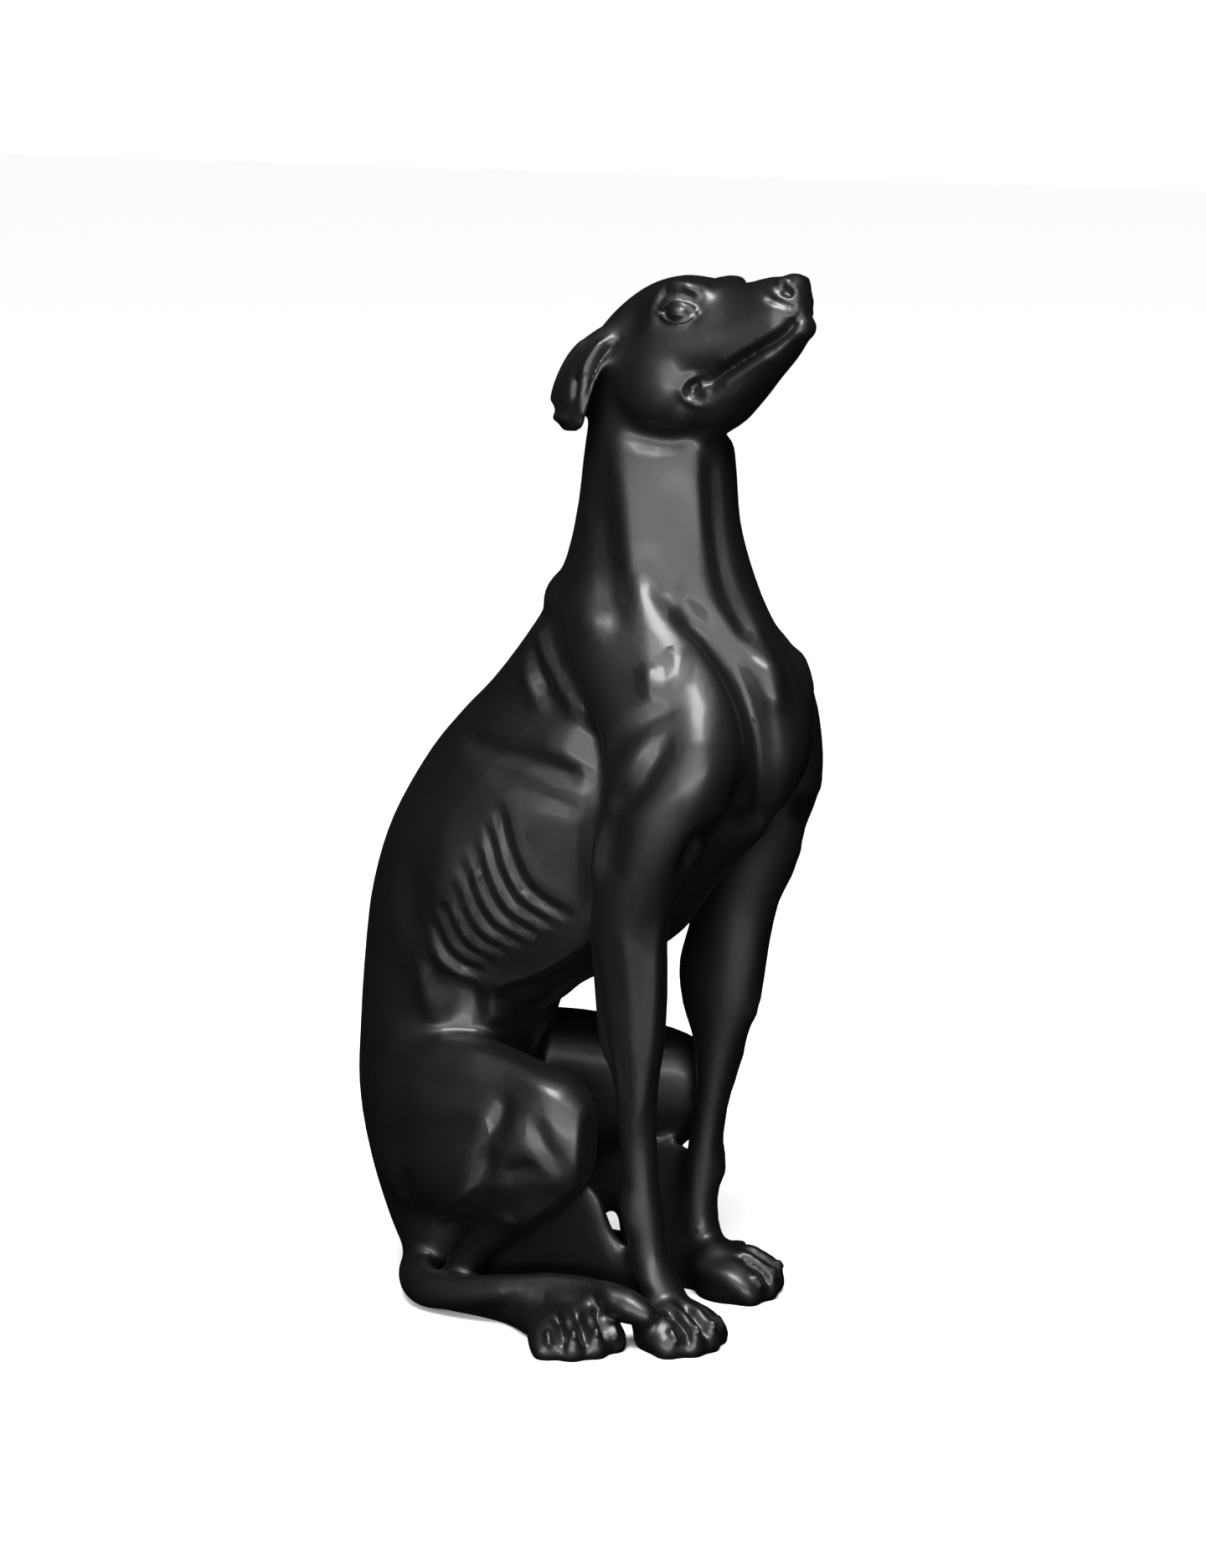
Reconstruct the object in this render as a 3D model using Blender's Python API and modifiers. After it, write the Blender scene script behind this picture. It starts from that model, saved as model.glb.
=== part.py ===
"""Seated greyhound, cast in one piece and glazed, with its head raised.

The dog faces -Y, its left side is +X and the floor is Z = 0. The form is laid out in
millimetres on a sheet where it stands SHEET tall, and mm() brings a sheet size to HEIGHT.
"""

from math import cos, pi, radians, sin
from typing import NamedTuple

import bmesh
import bpy
import numpy as np
from mathutils import Matrix, Vector
from mathutils.bvhtree import BVHTree

HEIGHT = 0.780
SHEET = 780
VOXEL = 2.6
TRIANGLES = 9400
RING_POINTS = 28
STEPS = 5


def mm(size):
    """A sheet size in metres."""
    return size * HEIGHT / SHEET


class Ring(NamedTuple):
    """One cross-section: its centre, and the half-axes up and sideways, in sheet millimetres.

    egg widens it above and narrows it below, and square under 1 makes its corners fuller.
    """

    centre: tuple
    up: tuple
    side: tuple
    egg: float = 0.0
    square: float = 1.0


def clear_scene():
    for old in list(bpy.data.objects):
        bpy.data.objects.remove(old, do_unlink=True)


def through(values, steps):
    """Points on a smooth curve through the rows of values (Catmull-Rom)."""
    values = np.asarray(values, float)
    ends = np.vstack([2 * values[0] - values[1], values, 2 * values[-1] - values[-2]])
    rows = []
    for a, b, c, d in zip(ends, ends[1:], ends[2:], ends[3:]):
        for t in np.arange(steps) / steps:
            bend = (2 * a - 5 * b + 4 * c - d) * t**2 + (3 * b - a - 3 * c + d) * t**3
            rows.append(0.5 * (2 * b + (c - a) * t + bend))
    rows.append(values[-1])
    return np.array(rows)


def section(row, size):
    """The points round one section, made from a ring's row of values."""
    turn = np.arange(RING_POINTS) * 2 * pi / RING_POINTS
    high = np.sign(np.cos(turn)) * np.abs(np.cos(turn)) ** row[10]
    wide = np.sign(np.sin(turn)) * np.abs(np.sin(turn)) ** row[10]
    wide = wide * (1 + row[9] * high)
    return row[:3] + size * (high[:, None] * row[3:6] + wide[:, None] * row[6:9])


def dome(end, inner, reach):
    """The rows of a domed end with their sizes, the pole last."""
    out = end[:3] - inner[:3]
    out = out / np.linalg.norm(out)
    reach = reach * min(np.linalg.norm(end[3:6]), np.linalg.norm(end[6:9]))
    rows = []
    for angle in (0.5, 1.0, 1.35, pi / 2):
        row = end.copy()
        row[:3] = end[:3] + out * reach * sin(angle)
        rows.append((row, cos(angle)))
    return rows


def loft(form, rings, steps=STEPS, round_ends=(1.0, 1.0)):
    """Adds a closed skin over the rings to the form, with domed ends."""
    rows = through([[*r.centre, *r.up, *r.side, r.egg, r.square] for r in rings], steps)
    first = dome(rows[0], rows[1], round_ends[0])
    last = dome(rows[-1], rows[-2], round_ends[1])
    skins = [section(row, size) for row, size in reversed(first[:-1])]
    skins += [section(row, 1.0) for row in rows]
    skins += [section(row, size) for row, size in last[:-1]]
    made = [[form.verts.new(p) for p in points] for points in skins]
    faces = []
    for low, high in zip(made, made[1:]):
        for i in range(RING_POINTS):
            j = (i + 1) % RING_POINTS
            faces.append(form.faces.new((low[i], low[j], high[j], high[i])))
    for ring, pole in ((made[0], first[-1][0]), (made[-1], last[-1][0])):
        tip = form.verts.new(pole[:3])
        for i in range(RING_POINTS):
            faces.append(form.faces.new((ring[i], ring[(i + 1) % RING_POINTS], tip)))
    bmesh.ops.recalc_face_normals(form, faces=faces)


def tube(form, points, radii, flat=1.0, side=(1, 0, 0), steps=STEPS, round_ends=(1.0, 1.0)):
    """Adds a tube through the points; flat widens or thins it along the side direction."""
    points = [Vector(p) for p in points]
    rings = []
    for i, (p, r) in enumerate(zip(points, radii)):
        ahead = points[min(i + 1, len(points) - 1)] - points[max(i - 1, 0)]
        across = Vector(side)
        across = (across - ahead * (across.dot(ahead) / ahead.length_squared)).normalized()
        up = ahead.normalized().cross(across)
        deep, wide = (r, r * flat) if isinstance(r, (int, float)) else r
        rings.append(Ring(tuple(p), tuple(up * deep), tuple(across * wide)))
    loft(form, rings, steps, round_ends)


def egg(form, centre, radii, turn=None):
    """Adds an ellipsoid; turn is a rotation matrix."""
    turned = turn.to_4x4() if turn else Matrix()
    place = Matrix.Translation(centre) @ turned @ Matrix.Diagonal((*radii, 1))
    bmesh.ops.create_uvsphere(form, u_segments=24, v_segments=16, radius=1, matrix=place)


def profile(back, front, half_width, x=0.0, shape=0.0):
    """A ring between a point of the back line and one of the front line, both (y, z)."""
    b, f = np.array(back, float), np.array(front, float)
    c, u = (b + f) / 2, (b - f) / 2
    return Ring((x, *c), (0, *u), (half_width, 0, 0), shape)


def spine(form):
    """Rump, rib cage and neck, from the floor up."""
    loft(
        form,
        [
            profile((168, 4), (100, 0), 52),
            profile((189, 46), (88, 40), 66),
            profile((207, 98), (82, 85), 74),
            profile((218, 150), (85, 135), 73),
            profile((219, 200), (78, 185), 67),
            profile((215, 253), (45, 232), 71),
            profile((205, 307), (-8, 262), 83, 0, 0.06),
            profile((185, 362), (-48, 287), 88, 0, 0.14),
            profile((154, 412), (-82, 332), 87, 0, 0.18),
            profile((126, 445), (-127, 380), 82, 0, 0.18),
            profile((98, 474), (-153, 430), 73, 0, 0.12),
            profile((63, 521), (-146, 486), 61),
            profile((42, 562), (-113, 541), 52),
            profile((31, 603), (-96, 590), 47.5),
            profile((25, 648), (-91, 632), 45),
            profile((15, 692), (-86, 672), 42),
            profile((-5, 726), (-72, 700), 34),
        ],
    )


def foreleg(form, side, lean, stout):
    """Shoulder, forearm and pastern; lean and stout are (z, value) pairs down the leg."""

    def at(table, z):
        return float(np.interp(-z, [-row[0] for row in table], [row[1] for row in table]))

    rings = []
    for z, x, deep, wide in FORELEG:
        rings.append(Ring((side * x, at(lean, z), z), (0, deep * at(stout, z), 0), (wide, 0, 0)))
    loft(form, rings)


FORELEG = [
    (556, 34, 36, 18),
    (530, 42, 56, 24),
    (500, 50, 63, 30),
    (470, 58, 61, 34),
    (440, 64, 57, 36),
    (410, 69, 52, 35),
    (380, 72, 46, 33),
    (350, 74, 38, 29),
    (325, 73, 32, 26),
    (302, 71, 28, 23),
    (279, 69, 25.5, 21),
    (248, 67, 24.5, 19),
    (217, 66, 22, 17),
    (190, 65, 16.5, 14.5),
    (155, 64.5, 13.4, 13.5),
    (123, 64, 12.8, 13),
    (92, 63, 13.5, 13.5),
    (60, 62, 14, 14.5),
    (36, 62, 16, 16),
    (20, 63, 15, 16),
]
NEAR_LEAN = [
    (556, -22), (530, -31), (500, -47), (470, -66), (440, -77), (410, -76), (380, -69),
    (350, -59), (325, -52), (302, -47), (279, -47), (248, -47), (217, -47), (186, -50),
    (155, -51), (123, -53), (92, -56), (60, -60), (36, -70), (20, -80),
]
FAR_LEAN = [
    (556, -22), (530, -31), (500, -47), (470, -64), (440, -69), (410, -76), (380, -79),
    (350, -77), (325, -69), (302, -60), (279, -54), (248, -48), (217, -47), (186, -47),
    (155, -44), (123, -39), (92, -36), (60, -33), (36, -36), (20, -46),
]
NEAR_STOUT = [(325, 1), (279, 1.16), (217, 1.16), (186, 1.08), (20, 1.06)]
FAR_STOUT = [
    (350, 1), (302, 1.2), (250, 1.42), (217, 1.36), (190, 1.2), (155, 1.06), (20, 1.04),
]


class Paw(NamedTuple):
    """Four short toes with nails on a flat sole; heading turns it outwards from -Y, in degrees."""

    at: tuple
    heading: float
    wide: float = 1.0
    tall: float = 1.0

    def turn(self):
        return Matrix.Rotation(radians(self.heading), 3, "Z")

    def put(self, ahead, aside, z):
        """A place ahead of the paw's middle and aside of it."""
        return Vector(self.at) + self.turn() @ Vector((aside * self.wide, -ahead, z * self.tall))


PAWS = [
    Paw((-73, -88, 0), -18),
    Paw((55, -69, 0), 14, 1.08, 1.18),
    Paw((-116, -26, 0), -42, 1.08, 0.92),
    Paw((80, -4, 0), 12),
]
# for each toe how far across, how far ahead it reaches and how high it stands
TOES = [(-23.5, 17, 23), (-8, 26, 28), (8, 26, 28), (23.5, 17, 23)]
TOE_GAPS = [-16, 0, 16]


def add_paw(form, paw):
    turn, put = paw.turn(), paw.put
    across = tuple(turn @ Vector((1, 0, 0)))
    egg(form, put(0, 0, 5), (31 * paw.wide, 32, 17 * paw.tall), turn)
    egg(form, put(-14, 0, 15), (21, 22, 19 * paw.tall), turn)
    for q, reach, high in TOES:
        line = [
            put(-22, q * 0.6, high - 6),
            put(reach - 18, q * 0.92, high - 8),
            put(reach - 4, q, high - 14),
            put(reach, q, 6),
        ]
        tube(form, line, [9, 11, 11.5, 11], side=across)


def fan(paw, aside, first, last, count):
    """Rays at the paw's middle, fanned from one angle above the floor to another."""
    rays = []
    for angle in np.radians(np.linspace(first, last, count)):
        target = paw.put(-2, aside * (0.75 + 0.25 * cos(angle)), 6)
        away = paw.turn() @ Vector((0, -cos(angle), sin(angle)))
        rays.append((target + away * 80, -away, 80.0))
    return rays


def paw_cuts(paw):
    """The gaps between the toes, and the nails."""
    for gap in TOE_GAPS:
        yield Cut(-5.5, 3.6, fan(paw, gap, 74, 6, 8))
    for aside, _, _ in TOES:
        yield Cut(3.2, 3.2, fan(paw, aside, 30, 16, 3))


# distance from the middle, y, z, half-depth, half-height and half-width of the thigh's rings
THIGH = [
    (50, 150, 132, 8, 70, 44),
    (64, 112, 137, 4, 68, 46),
    (74, 74, 139, 0, 66, 44),
    (81, 36, 144, 0, 55, 39),
    (87, 6, 149, 0, 47, 32),
    (90, -10, 149, 0, 42, 26),
    (91, -20, 146, 0, 35, 20),
]
THIGH_LEAN = 3
SHIN = [(91, -6, 134), (89, 18, 112), (84, 48, 82), (78, 78, 52), (74, 96, 28)]
# y and top of the web left between the lower leg and the foot
NEAR_WEB = [
    (-50, -12, 60), (-41, -12, 64), (-33, -12, 69), (-27, -12, 82), (-21, -12, 104), (-6, -12, 116),
    (30, -12, 104), (80, -12, 50),
]
FAR_WEB = [
    (-36, -12, 96), (-14, -12, 106), (8, -12, 112), (22, -12, 108), (33, 40, 104),
    (46, 42, 98), (56, 22, 92), (64, -12, 84), (76, -12, 72), (88, -12, 56),
]
NEAR_FOOT = [(82, 94, 12), (84, 64, 10), (90, 36, 10), (106, 6, 12)]
FAR_FOOT = [(82, 94, 12), (84, 64, 9), (84, 40, 9), (81, 14, 12)]


def haunch(form, side, low, web, foot):
    """Thigh, knee, lower leg and foot; low is how much lower the thigh's top lies."""

    def on(places):
        return [(side * x, y, z) for x, y, z in places]

    rings = []
    for x, y, z, up_y, up_z, wide in THIGH:
        up = (-side * THIGH_LEAN, up_y, up_z - low)
        rings.append(Ring((side * x, y, z - low), up, (wide, 0, 0), 0, 0.8))
    loft(form, rings, round_ends=(1, 0.35))
    tube(form, on(SHIN), [24, 26, 20, 15, 13], flat=0.9)
    egg(form, (side * 80, 44, 112), (28, 26, 26))
    egg(form, (side * 74, 88, 110), (36, 48, 30), Matrix.Rotation(radians(-35), 3, "X"))
    webbed = []
    for y, bottom, top in web:
        half = (top - bottom) / 2
        middle = (side * (44 + 0.22 * (top - half + 12)), y, top - half)
        webbed.append(Ring(middle, (side * 0.22 * half, 0, half), (8, 0, 0)))
    loft(form, webbed, round_ends=(0.5, 0.5))
    tube(form, on(foot), [15, 13, 13, 15], flat=1.1)


TAIL = [
    (12, 156, 16), (-38, 150, 16), (-74, 133, 15.5), (-93, 112, 15), (-100, 82, 19),
    (-101, 45, 27), (-99, 24, 32), (-97, 4, 36.5), (-96, -20, 38), (-98, -34, 37.5),
    (-101, -50, 37), (-103, -66, 34), (-103, -79, 29),
]
TAIL_RADII = [16, 16, 15.5, 14.5, 13, 12, 10.5, 9.5, 9.5, 10, 11.5, 12, 10]


def tail(form):
    """The tail comes round the right haunch and lies over the hind foot."""
    tube(form, TAIL, TAIL_RADII, side=(0, 0, 1))


HEAD_AT = (0, 2, 702)
HEAD_PITCH = 28
HEAD_YAW = -12
HEAD_TURN = Matrix.Rotation(radians(HEAD_YAW), 3, "Z") @ Matrix.Rotation(radians(-HEAD_PITCH), 3, "X")


def on_head(x, forward, up):
    """A place given in the head's own frame."""
    return Vector(HEAD_AT) + HEAD_TURN @ Vector((x, -forward, up))


# forward, top, bottom, half-width and egg
SKULL = [
    (0, 28, -45, 36, 0),
    (30, 36, -52, 43, 0),
    (60, 39, -58, 45, 0),
    (85, 34, -56, 41, 0),
    (104, 24, -54, 35, -0.1),
    (125, 10, -52, 28, -0.2),
    (140, 3, -50, 24.5, -0.2),
    (156, -1, -48, 21.5, -0.15),
    (168, -6, -45, 19, 0),
    (176, -14, -40, 15, 0),
]
JAW = [
    (20, -30, -70, 30, 0),
    (50, -35, -80, 34, 0),
    (78, -42, -82, 30, 0),
    (105, -45, -75, 25, 0),
    (124, -45, -69, 21, 0),
    (145, -44, -63, 17, 0),
    (163, -42, -55.5, 14, 0),
    (172, -42, -50, 11, 0),
]


def across(forward, top, bottom, wide, shape):
    """A ring of the head."""
    up = HEAD_TURN @ Vector((0, 0, (top - bottom) / 2))
    side = HEAD_TURN @ Vector((wide, 0, 0))
    return Ring(on_head(0, forward, (top + bottom) / 2), tuple(up), tuple(side), shape)


def head(form):
    """Skull, muzzle, jaw and ears, in the head's own frame."""
    turn, put = HEAD_TURN, on_head
    loft(form, [across(*row) for row in SKULL], round_ends=(1, 0.5))
    loft(form, [across(*row) for row in JAW], round_ends=(1, 0.5))
    egg(form, put(0, 175, -19), (13, 11.5, 12), turn)
    egg(form, put(0, 167, -46), (13, 12, 9.5), turn)
    for s in (-1, 1):
        egg(form, put(s * 29, 93, 3), (9, 12, 9), turn)
        brow = [
            put(s * 19, 114, 10),
            put(s * 27, 101, 14),
            put(s * 33, 84, 12.5),
            put(s * 35, 70, 3),
        ]
        tube(form, brow, [6, 7, 7, 6])
        egg(form, put(s * 32, 50, -30), (15, 32, 32), turn)
        ear = [
            put(s * 32, 42, 14),
            put(s * 42, 28, 9),
            put(s * 48, 13, 1),
            put(s * 51, 0, -9),
            put(s * 51, -11, -18),
            put(s * 50, -17, -24),
            put(s * 49.5, -22, -28.5),
            put(s * 49, -25, -31.5),
        ]
        flat = tuple(turn @ Vector((s, 0.35, 0.15)))
        sizes = [(10, 6), (15.5, 6.5), (20, 6.5), (23, 6), (24.5, 5.5), (23.5, 5.5), (18, 5), (9, 4)]
        tube(form, ear, sizes, side=flat)


RIBS = 8
FIRST_RIB = [(47, 397), (39, 364), (25, 333), (-4, 311)]
LAST_RIB = [(117, 292), (111, 272), (100, 259), (81, 254)]


class Stroke(NamedTuple):
    """A ridge (height above 0) or a groove along points.

    Seen from the side they are (y, z), from the front (x, z), and on the head (forward, up)
    in its own frame.
    """

    height: float
    width: float
    points: list
    seen: str = "side"


class Cut(NamedTuple):
    """A stroke aimed at the skin: rays of start, direction and reach find its points."""

    height: float
    width: float
    rays: list


CHEST_AND_SHOULDER = [
    Stroke(4, 8, [(114, 274), (100, 257), (80, 250), (50, 256), (20, 272), (-8, 292)]),
    Stroke(-5, 9, [(120, 258), (98, 239), (66, 237), (30, 254), (-5, 280)]),
    Stroke(-5.5, 8, [(100, 432), (62, 428), (20, 422), (-20, 411)]),
    Stroke(-2.5, 8, [(70, 414), (47, 409), (16, 400), (-17, 392)]),
    Stroke(2.5, 14, [(27, 441), (-9, 432)]),
    Stroke(6, 7.5, [(49, 516), (34, 497), (6, 474), (-16, 455)]),
    Stroke(-6, 6, [(53, 503), (38, 488), (18, 470)]),
    Stroke(3.5, 6, [(56, 488), (40, 473), (24, 457)]),
    Stroke(-5, 7, [(56, 521), (47, 520), (39, 519)]),
    Stroke(-8, 9, [(-13, 462), (-26, 424), (-26, 397), (-19, 365), (-16, 330), (-16, 300)]),
    Stroke(5, 10, [(-9, 526), (-18, 525)]),
    Stroke(5, 8, [(-65, 504), (-71, 492), (-76, 478)]),
    Stroke(3, 8, [(-81, 516), (-87, 499), (-85, 484)]),
    Stroke(-5, 8, [(-99, 475), (-76, 465), (-50, 446), (-38, 427)]),
    Stroke(-6, 9, [(-95, 461), (-84, 439), (-70, 416), (-41, 393)]),
    Stroke(3.5, 14, [(-112, 467), (-116, 433), (-104, 393)]),
    Stroke(-5, 14, [(-56, 400), (-49, 373), (-44, 342)]),
    Stroke(4, 6, [(-37, 386), (-32, 358), (-30, 339)]),
    Stroke(3, 14, [(93, 374), (101, 336), (112, 302)]),
    Stroke(-4, 16, [(135, 324), (134, 292)]),
    Stroke(6, 11, [(20, 508), (23, 490), (28, 462)], "front"),
    Stroke(-3, 6, [(6, 528), (8, 498), (8, 466)], "front"),
]
FORELEGS = [
    Stroke(3, 5, [(-85, 314), (-80, 269), (-76, 217), (-69, 166)]),
    Stroke(-4, 5, [(-24, 300), (-29, 245), (-36, 190)]),
    Stroke(2.5, 6, [(-56, 311), (-58, 254), (-58, 200), (-56, 150)]),
    Stroke(4, 9, [(-44, 100), (-48, 88)]),
]
NECK = [
    Stroke(4, 13, [(-13, 663), (-25, 635), (-31, 600), (-39, 570), (-52, 540), (-60, 520)]),
    Stroke(-3.5, 12, [(-8, 625), (-12, 590), (-20, 555), (-38, 522)]),
    Stroke(-3.5, 12, [(-41, 583), (-50, 568), (-61, 555), (-74, 543)]),
    Stroke(
        -10,
        9.5,
        [(-70, 546), (-81, 535), (-97, 521), (-118, 494), (-130, 466)]
        + [(-134, 439), (-132, 408), (-122, 374), (-106, 338)],
    ),
    Stroke(-2.5, 12, [(-61, 644), (-67, 614), (-76, 584), (-87, 558)]),
    Stroke(-4.5, 7, [(19, 648), (20, 610), (22, 577), (24, 554), (23, 530), (22, 512)], "front"),
    Stroke(-4, 8, [(-20, 662), (-56, 653), (-86, 662), (-102, 667)]),
    Stroke(2, 12, [(27, 655), (27, 613), (33, 566), (35, 531)], "front"),
]
HAUNCH = [
    Stroke(3, 9, [(126, 198), (95, 203), (54, 200), (20, 192), (-12, 183)]),
    Stroke(-3, 10, [(124, 176), (69, 178), (24, 174)]),
    Stroke(-4, 13, [(160, 112), (122, 134), (88, 149), (62, 154), (44, 150)]),
    Stroke(-5, 8, [(43, 149), (34, 166), (36, 181)]),
    Stroke(-5.5, 8, [(42, 147), (47, 123), (56, 95)]),
    Stroke(5, 6, [(37, 119), (65, 103), (86, 85), (123, 61)]),
    Stroke(-5, 10, [(124, 109), (136, 71)]),
    Stroke(-3.5, 8, [(10, 172), (-6, 144), (-19, 125)]),
    Stroke(3.5, 6, [(-22, 178), (-24, 150), (-22, 120)]),
    Stroke(4.5, 5.5, [(49, 84), (25, 84), (8, 101)]),
    Stroke(-4.5, 7, [(35, 118), (14, 128), (0, 127)]),
    Stroke(-6, 8, [(87, 252), (92, 233), (89, 218)]),
    Stroke(5, 10, [(128, 268), (125, 233), (122, 210)]),
    Stroke(4.5, 8, [(69, 247), (81, 228), (77, 212)]),
    Stroke(-5, 8, [(104, 254), (103, 227), (105, 211)]),
    Stroke(-6, 8, [(57, 246), (64, 222), (57, 210)]),
]
EYE = [Stroke(5, 8, [(93, 3), (101, 0)], "head")]
FACE = [
    Stroke(-4.5, 3.2, [(176, -41), (165, -46), (155, -48), (129, -49), (102, -51), (87, -53)], "head"),
    Stroke(2.2, 5, [(169, -38), (152, -41), (126, -42), (103, -44)], "head"),
    Stroke(2, 4, [(151, -54), (125, -56), (101, -58)], "head"),
    Stroke(2.6, 3.6, [(92, -44), (83, -43), (76, -47), (74, -54), (79, -61), (86, -63)], "head"),
    Stroke(-2.4, 3.4, [(88, -49), (81, -49), (80, -55)], "head"),
    Stroke(2.2, 4, [(87, -54), (90, -56)], "head"),
    Stroke(-5, 8, [(89, 5), (97, 1), (104, -3)], "head"),
    Stroke(4, 6, [(80, 17), (92, 22), (106, 17), (118, 6)], "head"),
    Stroke(-2.5, 3.5, [(85, 14), (94, 17.5), (105, 13), (112, 3)], "head"),
    Stroke(-4.5, 3.2, [(173, -18), (178, -22), (179, -27)], "head"),
    Stroke(2.2, 3.5, [(170, -14), (177, -13), (182, -19)], "head"),
    Stroke(-2.5, 3.2, [(161, -15), (169, -24), (175, -31), (178, -36)], "head"),
    Stroke(-4, 14, [(65, 28), (59, 15), (54, -4)], "head"),
    Stroke(-3, 9, [(21, -46), (35, -66), (61, -74), (88, -71)], "head"),
    Stroke(-5, 4, [(44, 6), (31, -3), (20, -15), (9, -27)], "head"),
    Stroke(3, 3.5, [(38, 10), (25, 2), (13, -10)], "head"),
    Stroke(-4, 3.5, [(8, -4), (3, -13), (-2, -22)], "head"),
    Stroke(3, 3.5, [(-35, -19), (-22, -25), (-8, -31)], "head"),
    Stroke(2.5, 3.5, [(22, 17), (4, 12), (-15, 1), (-32, -11)], "head"),
]


def ribs():
    """A ridge for each rib and a groove between each two."""
    first, last = np.array(FIRST_RIB), np.array(LAST_RIB)
    for i in range(2 * RIBS - 1):
        line = (first + (last - first) * i / (2 * RIBS - 2)).tolist()
        yield Stroke(-3.4, 4.4, line) if i % 2 else Stroke(1.2, 4.5, line)


def cast(form, name):
    """All lumps made one skin by voxels."""
    mesh = bpy.data.meshes.new(name)
    form.to_mesh(mesh)
    form.free()
    lumps = bpy.data.objects.new(name, mesh)
    bpy.context.scene.collection.objects.link(lumps)
    grid = lumps.modifiers.new("one skin", "REMESH")
    grid.mode = "VOXEL"
    grid.voxel_size = VOXEL
    seen = bpy.context.evaluated_depsgraph_get()
    whole = bpy.data.meshes.new_from_object(lumps.evaluated_get(seen))
    bpy.data.objects.remove(lumps)
    return whole


def arrays(mesh):
    co = np.empty(len(mesh.vertices) * 3, np.float32)
    mesh.vertices.foreach_get("co", co)
    edges = np.empty(len(mesh.edges) * 2, np.int32)
    mesh.edges.foreach_get("vertices", edges)
    return co.reshape(-1, 3).astype(float), edges.reshape(-1, 2)


def put_back(mesh, co):
    mesh.vertices.foreach_set("co", co.astype(np.float32).ravel())
    mesh.update()


def mean_of_neighbours(co, edges):
    n = len(co)
    total = np.empty_like(co)
    count = np.bincount(edges.ravel(), minlength=n)[:, None]
    for k in range(3):
        total[:, k] = np.bincount(edges[:, 0], co[edges[:, 1], k], n)
        total[:, k] += np.bincount(edges[:, 1], co[edges[:, 0], k], n)
    return total / count


def normals(mesh):
    out = np.empty(len(mesh.vertices) * 3, np.float32)
    mesh.vertex_normals.foreach_get("vector", out)
    return out.reshape(-1, 3)


def fillet(mesh, rounds, all_over):
    """Fills hollows between lumps; all_over is the share of plain smoothing on swellings."""
    co, edges = arrays(mesh)
    for _ in range(rounds):
        pull = mean_of_neighbours(co, edges) - co
        inwards = (pull * normals(mesh)).sum(1) < 0
        co = co + pull * np.where(inwards, all_over, 0.7)[:, None]
        put_back(mesh, co)


def aim(stroke, side):
    """A stroke as rays at one side of the dog."""
    rays = []
    for p, q in through(stroke.points, 4):
        if stroke.seen == "side":
            rays.append((Vector((side * 300, p, q)), Vector((-side, 0, 0)), 300.0))
        elif stroke.seen == "front":
            rays.append((Vector((side * p, -400, q)), Vector((0, 1, 0)), 420.0))
        else:
            rays.append((on_head(side * 120, p, q), HEAD_TURN @ Vector((-side, 0, 0)), 118.0))
    return Cut(stroke.height, stroke.width, rays)


def on_surface(tree, rays):
    """Where the rays meet the skin, with the skin's normals there."""
    spots = []
    for start, way, reach in rays:
        spot, normal, _, _ = tree.ray_cast(start, way, reach)
        if spot is None:
            spot, normal, _, _ = tree.find_nearest(start + way * reach * 0.72)
        spots.append((spot, normal))
    return np.array([s for s, _ in spots]), np.array([n for _, n in spots])


def carve(mesh, cuts):
    """Raises or cuts the skin along the lines; the ends run out."""
    co, _ = arrays(mesh)
    out = normals(mesh).astype(float)
    polygons = [tuple(p.vertices) for p in mesh.polygons]
    tree = BVHTree.FromPolygons([tuple(v) for v in co], polygons)
    move = np.zeros(len(co))
    for cut in cuts:
        line, facing = on_surface(tree, cut.rays)
        margin = 2.5 * cut.width
        inside = (co > line.min(0) - margin) & (co < line.max(0) + margin)
        near = np.where(inside.all(1))[0]
        legs = np.linalg.norm(np.diff(line, axis=0), axis=1)
        start = np.concatenate([[0], np.cumsum(legs)])
        best = np.full(len(near), 1e9)
        along = np.zeros(len(near))
        agree = np.zeros(len(near))
        for i, leg in enumerate(legs):
            if leg < 1e-6:
                continue
            way = (line[i + 1] - line[i]) / leg
            t = np.clip((co[near] - line[i]) @ way, 0, leg)
            gap = np.linalg.norm(co[near] - line[i] - t[:, None] * way, axis=1)
            closer = gap < best
            best = np.where(closer, gap, best)
            along = np.where(closer, start[i] + t, along)
            agree = np.where(closer, out[near] @ facing[i], agree)
        run_out = max(min(0.3 * start[-1], 2.5 * cut.width), 1e-6)
        ends = np.clip(np.minimum(along, start[-1] - along) / run_out, 0, 1)
        fade = 0.25 + 0.75 * ends * ends * (3 - 2 * ends)
        if start[-1] < 2.5 * cut.width:
            fade = np.ones(len(near))
        depth = cut.height * np.exp(-((best / cut.width) ** 2))
        move[near] += depth * fade * np.clip(agree * 1.5, 0, 1)
    put_back(mesh, co + out * move[:, None])


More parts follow.
